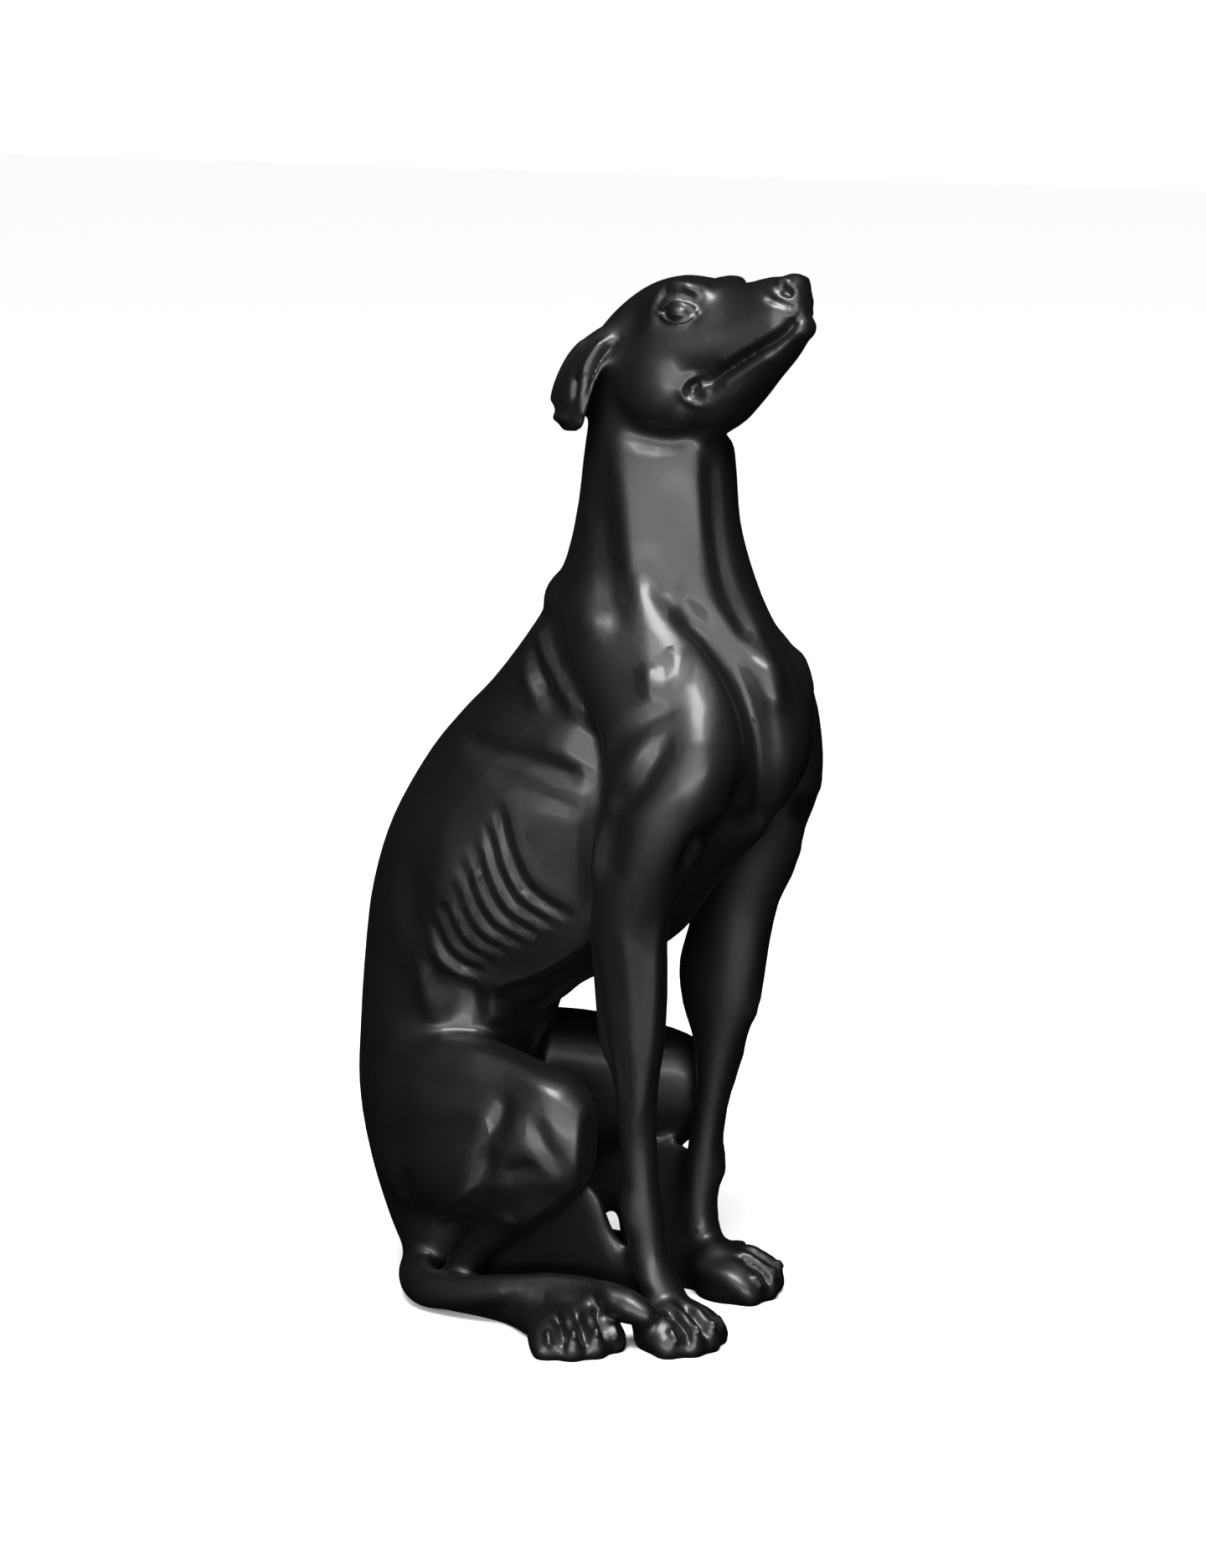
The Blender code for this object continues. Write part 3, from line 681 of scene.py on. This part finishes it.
@dataclass
class Haunch:
    """Thigh, knee, lower leg and foot of one hind leg."""

    side: int
    # how much lower the thigh's top lies
    low: float
    # y, bottom and top of the web left in the casting between the lower leg and the foot
    web: list[Place]
    # distance from the middle, y and z along the foot
    foot: tuple[Place, ...]

    # how far the thigh's top leans in
    lean = 3
    # distance from the middle, y, z, half-depth, half-height and half-width of the thigh's rings
    thigh = (
        (50, 150, 132, 8, 70, 44), (64, 112, 137, 4, 68, 46), (74, 74, 139, 0, 66, 44),
        (81, 36, 144, 0, 55, 39), (87, 6, 149, 0, 47, 32), (90, -10, 149, 0, 42, 26),
        (91, -20, 146, 0, 35, 20),
    )
    thigh_square = 0.8
    shin = ((91, -6, 134), (89, 18, 112), (84, 48, 82), (78, 78, 52), (74, 96, 28))
    shin_radii = (24, 26, 20, 15, 13)
    foot_radii = (15, 13, 13, 15)
    # middles and half-axes of the knee and of the calf, which is pitched by some degrees
    knee_at = (80, 44, 112)
    knee = (28, 26, 26)
    calf_at = (74, 88, 110)
    calf = (36, 48, 30)
    calf_pitch = -35
    # the web's distance from the middle at its lowest, how far down that is, how much the web
    # slants out for each millimetre up, and its half-thickness
    web_aside = 44
    web_sunk = 12
    web_slant = 0.22
    web_half = 8

    def build(self, clay: Clay) -> None:
        """Adds the hind leg without its paw to the clay."""
        clay.loft(self._thigh_rings(), (1, 0.35))
        clay.tube([self._out(place) for place in self.shin], self.shin_radii, flat=0.9)
        clay.egg(self._out(self.knee_at), self.knee)
        pitch = Matrix.Rotation(radians(self.calf_pitch), 3, "X")
        clay.egg(self._out(self.calf_at), self.calf, pitch)
        clay.loft(self._web_rings(), (0.5, 0.5))
        clay.tube([self._out(place) for place in self.foot], self.foot_radii, flat=1.1)

    def _out(self, place: Place) -> Place:
        """Sets a place's distance from the middle on this leg's side."""
        aside, y, z = place
        return (self.side * aside, y, z)

    def _thigh_rings(self) -> list[Ring]:
        """Makes the thigh's rings, each low by as much as the thigh's top is."""
        rings = []
        for aside, y, z, up_y, up_z, wide in self.thigh:
            middle = self._out((aside, y, z - self.low))
            up = (-self.side * self.lean, up_y, up_z - self.low)
            rings.append(Ring(middle, up, (wide, 0, 0), 0, self.thigh_square))
        return rings

    def _web_rings(self) -> list[Ring]:
        """Makes the web's rings, which slant outwards as they rise."""
        rings = []
        for y, bottom, top in self.web:
            half = (top - bottom) / 2
            up = (self.side * self.web_slant * half, 0, half)
            aside = self.web_aside + self.web_slant * (top - half + self.web_sunk)
            rings.append(Ring(self._out((aside, y, top - half)), up, (self.web_half, 0, 0)))
        return rings


NEAR_WEB = [
    (-50, -12, 60), (-41, -12, 64), (-33, -12, 69), (-27, -12, 82), (-21, -12, 104), (-6, -12, 116),
    (30, -12, 104), (80, -12, 50),
]
FAR_WEB = [
    (-36, -12, 96), (-14, -12, 106), (8, -12, 112), (22, -12, 108), (33, 40, 104),
    (46, 42, 98), (56, 22, 92), (64, -12, 84), (76, -12, 72), (88, -12, 56),
]
NEAR_FOOT = ((82, 94, 12), (84, 64, 10), (90, 36, 10), (106, 6, 12))
FAR_FOOT = ((82, 94, 12), (84, 64, 9), (84, 40, 9), (81, 14, 12))


@dataclass
class Tail:
    """The tail, which comes round the right haunch and lies over the hind foot."""

    line: tuple = (
        (12, 156, 16), (-38, 150, 16), (-74, 133, 15.5), (-93, 112, 15), (-100, 82, 19),
        (-101, 45, 27), (-99, 24, 32), (-97, 4, 36.5), (-96, -20, 38), (-98, -34, 37.5),
        (-101, -50, 37), (-103, -66, 34), (-103, -79, 29),
    )
    radii: tuple = (16, 16, 15.5, 14.5, 13, 12, 10.5, 9.5, 9.5, 10, 11.5, 12, 10)

    def build(self, clay: Clay) -> None:
        """Adds the tail to the clay."""
        clay.tube(self.line, self.radii, side=(0, 0, 1))


@dataclass
class Head:
    """Skull, muzzle, jaw and ears, in the head's own frame: aside, forward and up."""

    at: Place = (0, 2, 702)
    pitch: float = 28
    yaw: float = -12

    # forward, top, bottom, half-width, egg
    skull = (
        (0, 28, -45, 36, 0), (30, 36, -52, 43, 0), (60, 39, -58, 45, 0), (85, 34, -56, 41, 0),
        (104, 24, -54, 35, -0.1), (125, 10, -52, 28, -0.2), (140, 3, -50, 24.5, -0.2),
        (156, -1, -48, 21.5, -0.15), (168, -6, -45, 19, 0), (176, -14, -40, 15, 0),
    )
    jaw = (
        (20, -30, -70, 30, 0), (50, -35, -80, 34, 0), (78, -42, -82, 30, 0),
        (105, -45, -75, 25, 0), (124, -45, -69, 21, 0), (145, -44, -63, 17, 0),
        (163, -42, -55.5, 14, 0), (172, -42, -50, 11, 0),
    )
    # how far the domes of skull and jaw stand out, at the neck and at the nose
    domes = (1, 0.5)
    # middles and half-axes of the nose, the chin, the lump under the eye and the cheek
    nose_at = (0, 175, -19)
    nose = (13, 11.5, 12)
    chin_at = (0, 167, -46)
    chin = (13, 12, 9.5)
    socket_at = (29, 93, 3)
    socket = (9, 12, 9)
    cheek_at = (32, 50, -30)
    cheek = (15, 32, 32)
    brow = ((19, 114, 10), (27, 101, 14), (33, 84, 12.5), (35, 70, 3))
    brow_radii = (6, 7, 7, 6)
    ear = (
        (32, 42, 14), (42, 28, 9), (48, 13, 1), (51, 0, -9),
        (51, -11, -18), (50, -17, -24), (49.5, -22, -28.5), (49, -25, -31.5),
    )
    # half-depth and half-width at each point of the ear, and the way that its width lies
    ear_radii = (
        (10, 6), (15.5, 6.5), (20, 6.5), (23, 6),
        (24.5, 5.5), (23.5, 5.5), (18, 5), (9, 4),
    )
    ear_way = (1, 0.35, 0.15)
    # middle and half-axes of the eyeball, the way it is pressed out, and the eye on the skin
    eyeball_at = (30, 97, 1)
    eyeball = (9.5, 10.5, 7.2)
    eyeball_way = (1, 0.1, 0.1)
    eye_at = (32, 98, 2)

    @property
    def turn(self) -> Matrix:
        """The head's rotation."""
        yaw = Matrix.Rotation(radians(self.yaw), 3, "Z")
        return yaw @ Matrix.Rotation(radians(-self.pitch), 3, "X")

    def put(self, aside: float, forward: float, up: float) -> Vector:
        """Gives a place of the head's frame in the dog's."""
        return Vector(self.at) + self.turn @ Vector((aside, -forward, up))

    def on(self, side: int, place: Place) -> Vector:
        """Gives a place of the head's frame on one side, in the dog's frame."""
        aside, forward, up = place
        return self.put(side * aside, forward, up)

    def way(self, side: int, direction: Place) -> Vector:
        """Gives a direction of the head's frame on one side, in the dog's frame."""
        x, y, z = direction
        return self.turn @ Vector((side * x, y, z))

    def near_eyes(self, co: np.ndarray, reach: float) -> np.ndarray:
        """Tells which places lie within a reach of either eye."""
        near = np.zeros(len(co), bool)
        for side in SIDES:
            near |= np.linalg.norm(co - np.array(self.on(side, self.eye_at)), axis=1) < reach
        return near

    def _rings(self, table: tuple) -> list[Ring]:
        """Makes rings from rows of forward, top, bottom, half-width and egg."""
        rings = []
        for forward, top, bottom, wide, egg in table:
            up = self.turn @ Vector((0, 0, (top - bottom) / 2))
            across = self.turn @ Vector((wide, 0, 0))
            middle = self.put(0, forward, (top + bottom) / 2)
            rings.append(Ring(tuple(middle), tuple(up), tuple(across), egg))
        return rings

    def build(self, clay: Clay) -> None:
        """Adds the head to the clay."""
        clay.loft(self._rings(self.skull), self.domes)
        clay.loft(self._rings(self.jaw), self.domes)
        clay.egg(self.put(*self.nose_at), self.nose, self.turn)
        clay.egg(self.put(*self.chin_at), self.chin, self.turn)
        for side in SIDES:
            clay.egg(self.on(side, self.socket_at), self.socket, self.turn)
            clay.tube([self.on(side, place) for place in self.brow], self.brow_radii)
            clay.egg(self.on(side, self.cheek_at), self.cheek, self.turn)
            ear = [self.on(side, place) for place in self.ear]
            clay.tube(ear, self.ear_radii, side=tuple(self.way(side, self.ear_way)))

    def eyes(self, skin: Skin) -> None:
        """Presses the eyeballs out of the skin."""
        level = Matrix.Rotation(radians(self.yaw), 3, "Z")
        for side in SIDES:
            way = self.way(side, self.eyeball_way)
            skin.press_out(self.on(side, self.eyeball_at), self.eyeball, level, way)

    def aim(self, stroke: Stroke, side: int) -> Cut:
        """Aims a stroke at one side of the dog.

        Args:
            stroke: The stroke.
            side: 1 for the dog's left and -1 for its right.

        Returns:
            The stroke as rays.
        """
        rays = []
        for p, q in smooth_path(stroke.points, STROKE_STEPS):
            if stroke.seen is Seen.SIDE:
                start, way = Vector((side * FROM_SIDE, p, q)), Vector((-side, 0, 0))
                rays.append((start, way, FROM_SIDE))
            elif stroke.seen is Seen.FRONT:
                start, way = Vector((side * p, -FROM_FRONT, q)), Vector((0, 1, 0))
                rays.append((start, way, FRONT_REACH))
            else:
                start, way = self.put(side * FROM_HEAD, p, q), self.way(side, (-1, 0, 0))
                rays.append((start, way, HEAD_REACH))
        return Cut(stroke.height, stroke.width, rays)

    def aim_all(self, strokes: list[Stroke]) -> list[Cut]:
        """Aims strokes at both sides of the dog."""
        return [self.aim(stroke, side) for stroke in strokes for side in SIDES]


# Carving

# height and width of each rib's ridge, and of the grooves between them
RIB_RIDGE = (1.2, 4.5)
RIB_GROOVE = (-3.4, 4.4)
RIB_COUNT = 8
FIRST_RIB = [(47, 397), (39, 364), (25, 333), (-4, 311)]
LAST_RIB = [(117, 292), (111, 272), (100, 259), (81, 254)]


def ribs() -> list[Stroke]:
    """Makes a ridge for each rib and a groove between each two."""
    first, last = np.array(FIRST_RIB), np.array(LAST_RIB)
    made = []
    for i in range(2 * RIB_COUNT - 1):
        line = (first + (last - first) * i / (2 * RIB_COUNT - 2)).tolist()
        height, width = RIB_GROOVE if i % 2 else RIB_RIDGE
        made.append(Stroke(height, width, line))
    return made


def strokes(*rows: tuple, seen: Seen = Seen.SIDE) -> list[Stroke]:
    """Makes strokes from rows of height, width, points and, where it differs, direction."""
    return [Stroke(*row) if len(row) > 3 else Stroke(*row, seen) for row in rows]


CHEST_AND_SHOULDER = strokes(
    (4, 8, [(114, 274), (100, 257), (80, 250), (50, 256), (20, 272), (-8, 292)]),
    (-5, 9, [(120, 258), (98, 239), (66, 237), (30, 254), (-5, 280)]),
    (-5.5, 8, [(100, 432), (62, 428), (20, 422), (-20, 411)]),
    (-2.5, 8, [(70, 414), (47, 409), (16, 400), (-17, 392)]),
    (2.5, 14, [(27, 441), (-9, 432)]),
    (6, 7.5, [(49, 516), (34, 497), (6, 474), (-16, 455)]),
    (-6, 6, [(53, 503), (38, 488), (18, 470)]),
    (3.5, 6, [(56, 488), (40, 473), (24, 457)]),
    (-5, 7, [(56, 521), (47, 520), (39, 519)]),
    (-8, 9, [(-13, 462), (-26, 424), (-26, 397), (-19, 365), (-16, 330), (-16, 300)]),
    (5, 10, [(-9, 526), (-18, 525)]),
    (5, 8, [(-65, 504), (-71, 492), (-76, 478)]),
    (3, 8, [(-81, 516), (-87, 499), (-85, 484)]),
    (-5, 8, [(-99, 475), (-76, 465), (-50, 446), (-38, 427)]),
    (-6, 9, [(-95, 461), (-84, 439), (-70, 416), (-41, 393)]),
    (3.5, 14, [(-112, 467), (-116, 433), (-104, 393)]),
    (-5, 14, [(-56, 400), (-49, 373), (-44, 342)]),
    (4, 6, [(-37, 386), (-32, 358), (-30, 339)]),
    (3, 14, [(93, 374), (101, 336), (112, 302)]),
    (-4, 16, [(135, 324), (134, 292)]),
    (6, 11, [(20, 508), (23, 490), (28, 462)], Seen.FRONT),
    (-3, 6, [(6, 528), (8, 498), (8, 466)], Seen.FRONT),
)
FORELEGS = strokes(
    (3, 5, [(-85, 314), (-80, 269), (-76, 217), (-69, 166)]),
    (-4, 5, [(-24, 300), (-29, 245), (-36, 190)]),
    (2.5, 6, [(-56, 311), (-58, 254), (-58, 200), (-56, 150)]),
    (4, 9, [(-44, 100), (-48, 88)]),
)
NECK = strokes(
    (4, 13, [(-13, 663), (-25, 635), (-31, 600), (-39, 570), (-52, 540), (-60, 520)]),
    (-3.5, 12, [(-8, 625), (-12, 590), (-20, 555), (-38, 522)]),
    (-3.5, 12, [(-41, 583), (-50, 568), (-61, 555), (-74, 543)]),
    (
        -10,
        9.5,
        [(-70, 546), (-81, 535), (-97, 521), (-118, 494), (-130, 466)]
        + [(-134, 439), (-132, 408), (-122, 374), (-106, 338)],
    ),
    (-2.5, 12, [(-61, 644), (-67, 614), (-76, 584), (-87, 558)]),
    (-4.5, 7, [(19, 648), (20, 610), (22, 577), (24, 554), (23, 530), (22, 512)], Seen.FRONT),
    (-4, 8, [(-20, 662), (-56, 653), (-86, 662), (-102, 667)]),
    (2, 12, [(27, 655), (27, 613), (33, 566), (35, 531)], Seen.FRONT),
)
HAUNCH = strokes(
    (3, 9, [(126, 198), (95, 203), (54, 200), (20, 192), (-12, 183)]),
    (-3, 10, [(124, 176), (69, 178), (24, 174)]),
    (-4, 13, [(160, 112), (122, 134), (88, 149), (62, 154), (44, 150)]),
    (-5, 8, [(43, 149), (34, 166), (36, 181)]),
    (-5.5, 8, [(42, 147), (47, 123), (56, 95)]),
    (5, 6, [(37, 119), (65, 103), (86, 85), (123, 61)]),
    (-5, 10, [(124, 109), (136, 71)]),
    (-3.5, 8, [(10, 172), (-6, 144), (-19, 125)]),
    (3.5, 6, [(-22, 178), (-24, 150), (-22, 120)]),
    (4.5, 5.5, [(49, 84), (25, 84), (8, 101)]),
    (-4.5, 7, [(35, 118), (14, 128), (0, 127)]),
    (-6, 8, [(87, 252), (92, 233), (89, 218)]),
    (5, 10, [(128, 268), (125, 233), (122, 210)]),
    (4.5, 8, [(69, 247), (81, 228), (77, 212)]),
    (-5, 8, [(104, 254), (103, 227), (105, 211)]),
    (-6, 8, [(57, 246), (64, 222), (57, 210)]),
)
FACE = strokes(
    (-4.5, 3.2, [(176, -41), (165, -46), (155, -48), (129, -49), (102, -51), (87, -53)]),
    (2.2, 5, [(169, -38), (152, -41), (126, -42), (103, -44)]),
    (2, 4, [(151, -54), (125, -56), (101, -58)]),
    (2.6, 3.6, [(92, -44), (83, -43), (76, -47), (74, -54), (79, -61), (86, -63)]),
    (-2.4, 3.4, [(88, -49), (81, -49), (80, -55)]),
    (2.2, 4, [(87, -54), (90, -56)]),
    (-3, 9, [(89, 5), (97, 1), (104, -3)]),
    (4, 6, [(80, 17), (92, 22), (106, 17), (118, 6)]),
    (-2.5, 3.5, [(85, 14), (94, 17.5), (105, 13), (112, 3)]),
    (-4.5, 3.2, [(173, -18), (178, -22), (179, -27)]),
    (2.2, 3.5, [(170, -14), (177, -13), (182, -19)]),
    (-2.5, 3.2, [(161, -15), (169, -24), (175, -31), (178, -36)]),
    (-4, 14, [(65, 28), (59, 15), (54, -4)]),
    (-3, 9, [(21, -46), (35, -66), (61, -74), (88, -71)]),
    (-5, 4, [(44, 6), (31, -3), (20, -15), (9, -27)]),
    (3, 3.5, [(38, 10), (25, 2), (13, -10)]),
    (-4, 3.5, [(8, -4), (3, -13), (-2, -22)]),
    (3, 3.5, [(-35, -19), (-22, -25), (-8, -31)]),
    (2.5, 3.5, [(22, 17), (4, 12), (-15, 1), (-32, -11)]),
    seen=Seen.HEAD,
)
EYELIDS = strokes(
    (2.6, 2.2, [(84, 8), (91, 9.5), (98.5, 7.5), (105, 2.5), (110, -5)]),
    (2.4, 2.2, [(84, 7), (87.5, 1), (93, -4), (101, -6.8), (110, -6)]),
    seen=Seen.HEAD,
)


# Finishes


def linear(code: str) -> tuple[float, float, float, float]:
    """Turns an sRGB hex colour into a linear one.

    Args:
        code: Six hex digits.

    Returns:
        Red, green, blue and 1.
    """
    out = []
    for i in (0, 2, 4):
        c = int(code[i : i + 2], 16) / 255
        out.append(c / 12.92 if c <= 0.04045 else ((c + 0.055) / 1.055) ** 2.4)
    return (*out, 1.0)


def add_node(
    tree: bpy.types.NodeTree, kind: str, links: dict, settings: dict | None = None
) -> bpy.types.Node:
    """Adds a node with its inputs and its settings.

    Args:
        tree: The material's node tree.
        kind: The node's type name.
        links: For each input, by name or number, a value or the output that feeds it.
        settings: Attributes of the node to set, or nothing.

    Returns:
        The node.
    """
    node = tree.nodes.new(kind)
    for name, value in (settings or {}).items():
        setattr(node, name, value)
    for name, value in links.items():
        if isinstance(value, bpy.types.NodeSocket):
            tree.links.new(value, node.inputs[name])
        else:
            node.inputs[name].default_value = value
    return node


@dataclass(frozen=True)
class BlackGlaze:
    """Black glazed stoneware, slip-cast, dipped and fired.

    The glaze is satin: broad soft lights on what faces the lamp and near black elsewhere.
    """

    slot: str = "greyhound"
    deep: str = "020202"
    thin: str = "050504"
    cloud_mm: float = 90.0
    ripple_mm: float = 9.0
    ripple_strength: float = 0.12
    ripple_depth: float = 0.001
    roughness: Spot = (0.42, 0.52)
    ior: float = 1.5
    specular: float = 0.5
    coat: float = 0.2
    coat_roughness: float = 0.2

    def make(self) -> bpy.types.Material:
        """Builds the material.

        Returns:
            The material.
        """
        material = bpy.data.materials.new("black satin glazed ceramic")
        material.use_nodes = True
        tree = material.node_tree
        tree.nodes.clear()
        where = add_node(tree, "ShaderNodeTexCoord", {}).outputs["Object"]
        cloud = self._noise(tree, where, self.cloud_mm, 3)
        ripple = self._noise(tree, where, self.ripple_mm, 2)
        shades = {0: cloud, 6: linear(self.deep), 7: linear(self.thin)}
        colour = add_node(tree, "ShaderNodeMix", shades, {"data_type": "RGBA"})
        low, high = self.roughness
        spread = {"Value": cloud, "To Min": low, "To Max": high}
        rough = add_node(tree, "ShaderNodeMapRange", spread)
        bump = {"Height": ripple, "Strength": self.ripple_strength, "Distance": self.ripple_depth}
        relief = add_node(tree, "ShaderNodeBump", bump)
        glaze = {
            "Base Color": colour.outputs[2],
            "Roughness": rough.outputs[0],
            "IOR": self.ior,
            "Specular IOR Level": self.specular,
            "Coat Weight": self.coat,
            "Coat Roughness": self.coat_roughness,
            "Coat IOR": self.ior,
            "Normal": relief.outputs[0],
        }
        shader = add_node(tree, "ShaderNodeBsdfPrincipled", glaze)
        add_node(tree, "ShaderNodeOutputMaterial", {"Surface": shader.outputs[0]})
        return material

    @staticmethod
    def _noise(
        tree: bpy.types.NodeTree, where: bpy.types.NodeSocket, size_mm: float, detail: float
    ) -> bpy.types.NodeSocket:
        """Adds noise whose cells are about a size across, and gives its value."""
        links = {"Vector": where, "Scale": MM / size_mm, "Detail": detail}
        return add_node(tree, "ShaderNodeTexNoise", links).outputs[0]


@dataclass(frozen=True)
class PaleFloor:
    """Matt pale studio floor, painted."""

    paint: str = "FAFAFA"
    roughness: float = 0.9

    def make(self) -> bpy.types.Material:
        """Builds the material."""
        material = bpy.data.materials.new("matt floor paint")
        material.use_nodes = True
        shader = material.node_tree.nodes["Principled BSDF"]
        shader.inputs["Base Color"].default_value = linear(self.paint)
        shader.inputs["Roughness"].default_value = self.roughness
        return material


# The statue


@dataclass
class Greyhound:
    """The statue: every limb built up in clay, fired as one skin, carved and stood on the floor."""

    node: str = "greyhound"
    finish: BlackGlaze = BlackGlaze()
    paws: tuple[Paw, ...] = (
        Paw((-73, -88, 0), -18),
        Paw((55, -69, 0), 14, 1.08, 1.18),
        Paw((-116, -26, 0), -42, 1.08, 0.92),
        Paw((80, -4, 0), 12),
    )
    # millimetres up: faces are made finer above the first and below the second, and fewer merge
    # above the third and below the second
    head_from: float = 650
    toes_to: float = 45
    whole_head_from: float = 655
    # how readily faces merge there: 1 as on the trunk, 0 not at all
    head_merging: float = 0.3
    toes_merging: float = 0.6
    # how far round the eyes faces are made finer, balls are smoothed, and lids are smoothed
    # and no faces merge
    fine_round_eyes: float = 20
    smooth_round_eyes: float = 17
    keep_round_eyes: float = 18

    def build(self) -> bpy.types.Object:
        """Makes the statue.

        Returns:
            The finished object.
        """
        head = Head()
        clay = Clay()
        for part in self.parts(head):
            part.build(clay)
            LOG.info("built %s", type(part).__name__)
        whole = clay.fire("greyhound_statue")
        skin = Skin(whole)
        self._carve_body(skin, head)
        self._carve_details(skin, head)
        skin.thin(TRIANGLES, self._merging(skin.places(), head))
        skin.stand()
        skin.settle(*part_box(self.node))
        whole.data.materials.clear()
        whole.data.materials.append(self.finish.make())
        whole.data.shade_smooth()
        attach(whole, "root")
        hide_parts(self.node)
        LOG.info("%s: %d faces", whole.name, len(whole.data.polygons))
        return whole

    @staticmethod
    def _carve_body(skin: Skin, head: Head) -> None:
        """Smooths the limbs into each other and carves the broad lines."""
        skin.fillet(24, 0.04)
        skin.fillet(5, 0.5)
        skin.carve(head.aim_all(CHEST_AND_SHOULDER + FORELEGS + NECK + HAUNCH + ribs()))

    def _carve_details(self, skin: Skin, head: Head) -> None:
        """Makes the faces of head and toes finer, and carves face, toes, eyes and lids."""
        height = skin.middles()[:, 2]
        skin.refine((height > self.head_from) | (height < self.toes_to))
        skin.refine(head.near_eyes(skin.middles(), self.fine_round_eyes))
        skin.fillet(3, 0.5)
        toes = [cut for paw in self.paws for cut in paw.cuts()]
        skin.carve(head.aim_all(FACE) + toes)
        skin.fillet(1, 0.3, 0.3)
        head.eyes(skin)
        skin.fillet(9, 0.5, 0.5, head.near_eyes(skin.places(), self.smooth_round_eyes))
        skin.carve(head.aim_all(EYELIDS))
        skin.fillet(1, 0.5, 0.5, head.near_eyes(skin.places(), self.keep_round_eyes))

    def _merging(self, co: np.ndarray, head: Head) -> np.ndarray:
        """Tells how readily the faces merge at each place."""
        trunk_and_toes = np.where(co[:, 2] < self.toes_to, self.toes_merging, 1.0)
        merging = np.where(co[:, 2] > self.whole_head_from, self.head_merging, trunk_and_toes)
        return np.where(head.near_eyes(co, self.keep_round_eyes), 0.0, merging)

    def parts(self, head: Head) -> list:
        """Lists the limbs in the order they are built up."""
        return [
            Spine(),
            Foreleg(-1, NEAR_LEAN, NEAR_STOUT),
            Foreleg(1, FAR_LEAN, FAR_STOUT),
            Haunch(-1, 0, NEAR_WEB, NEAR_FOOT),
            Haunch(1, 4, FAR_WEB, FAR_FOOT),
            *self.paws,
            Tail(),
            head,
        ]


# The studio


@dataclass(frozen=True)
class Softbox:
    """A rectangular soft box: where it hangs, what it points to, its size in metres and watts."""

    name: str
    at: Place
    aim: Place
    size: Spot
    watts: float

    def hang(self) -> None:
        """Adds the soft box to the scene."""
        lamp = bpy.data.lights.new(self.name, "AREA")
        lamp.shape = "RECTANGLE"
        lamp.size, lamp.size_y = self.size
        lamp.energy = self.watts
        box = bpy.data.objects.new(self.name, lamp)
        bpy.context.scene.collection.objects.link(box)
        box.location = self.at
        way = Vector(self.aim) - Vector(self.at)
        box.rotation_euler = way.to_track_quat("-Z", "Y").to_euler()
        LOG.info("hung soft box %s", self.name)


@dataclass
class Studio:
    """A pale floor, soft boxes and the camera."""

    eye: Place = (-2.6066, -1.5224, 1.0)
    aim: Place = (-0.0085, -0.0224, 0.40)
    lens: float = 96.0
    sensor: float = 36.0
    floor_half: float = 14.0
    walls: str = "FFFFFF"
    walls_light: float = 1.1
    softboxes: tuple[Softbox, ...] = (
        Softbox("key", (-1.2, -0.5, 2.4), (0, 0, 0.4), (1.1, 1.1), 125),
        Softbox("front", (-3.05, -1.0, 0.9), (0, 0, 0.4), (3.8, 1.7), 70),
        Softbox("low", (-2.2, -1.1, 0.22), (0, 0, 0.2), (3.0, 0.36), 36),
    )

    def build(self) -> None:
        """Makes the floor, the lights, the surroundings and the camera."""
        self._floor()
        for softbox in self.softboxes:
            softbox.hang()
        self._surroundings()
        self._camera()

    def _floor(self) -> None:
        """Makes the floor."""
        bpy.ops.object.select_all(action="DESELECT")
        bpy.ops.mesh.primitive_plane_add(size=2 * self.floor_half)
        floor = bpy.context.object
        floor.name = "floor"
        floor.data.materials.append(PaleFloor().make())
        floor.visible_glossy = False
        LOG.info("built the floor")

    def _surroundings(self) -> None:
        """Makes the studio's pale walls, which light the floor but stay out of the glaze."""
        world = bpy.data.worlds.new("studio")
        bpy.context.scene.world = world
        world.use_nodes = True
        back = world.node_tree.nodes["Background"]
        back.inputs["Color"].default_value = linear(self.walls)
        back.inputs["Strength"].default_value = self.walls_light
        world.cycles_visibility.glossy = False
        LOG.info("lit the surroundings")

    def _camera(self) -> None:
        """Sets up the camera at the photograph's angle."""
        lens = bpy.data.cameras.new("camera")
        lens.lens = self.lens
        lens.sensor_fit = "AUTO"
        lens.sensor_width = self.sensor
        camera = bpy.data.objects.new("camera", lens)
        bpy.context.scene.collection.objects.link(camera)
        camera.location = self.eye
        way = Vector(self.aim) - Vector(self.eye)
        camera.rotation_euler = way.to_track_quat("-Z", "Y").to_euler()
        bpy.context.scene.camera = camera
        bpy.context.scene.view_settings.view_transform = "Standard"
        LOG.info("set the camera")


def main() -> None:
    """Builds the statue and the studio, and reports each."""
    logging.basicConfig(level=logging.INFO, format="%(name)s: %(message)s")
    Greyhound().build()
    Studio().build()


if __name__ == "__main__":
    main()
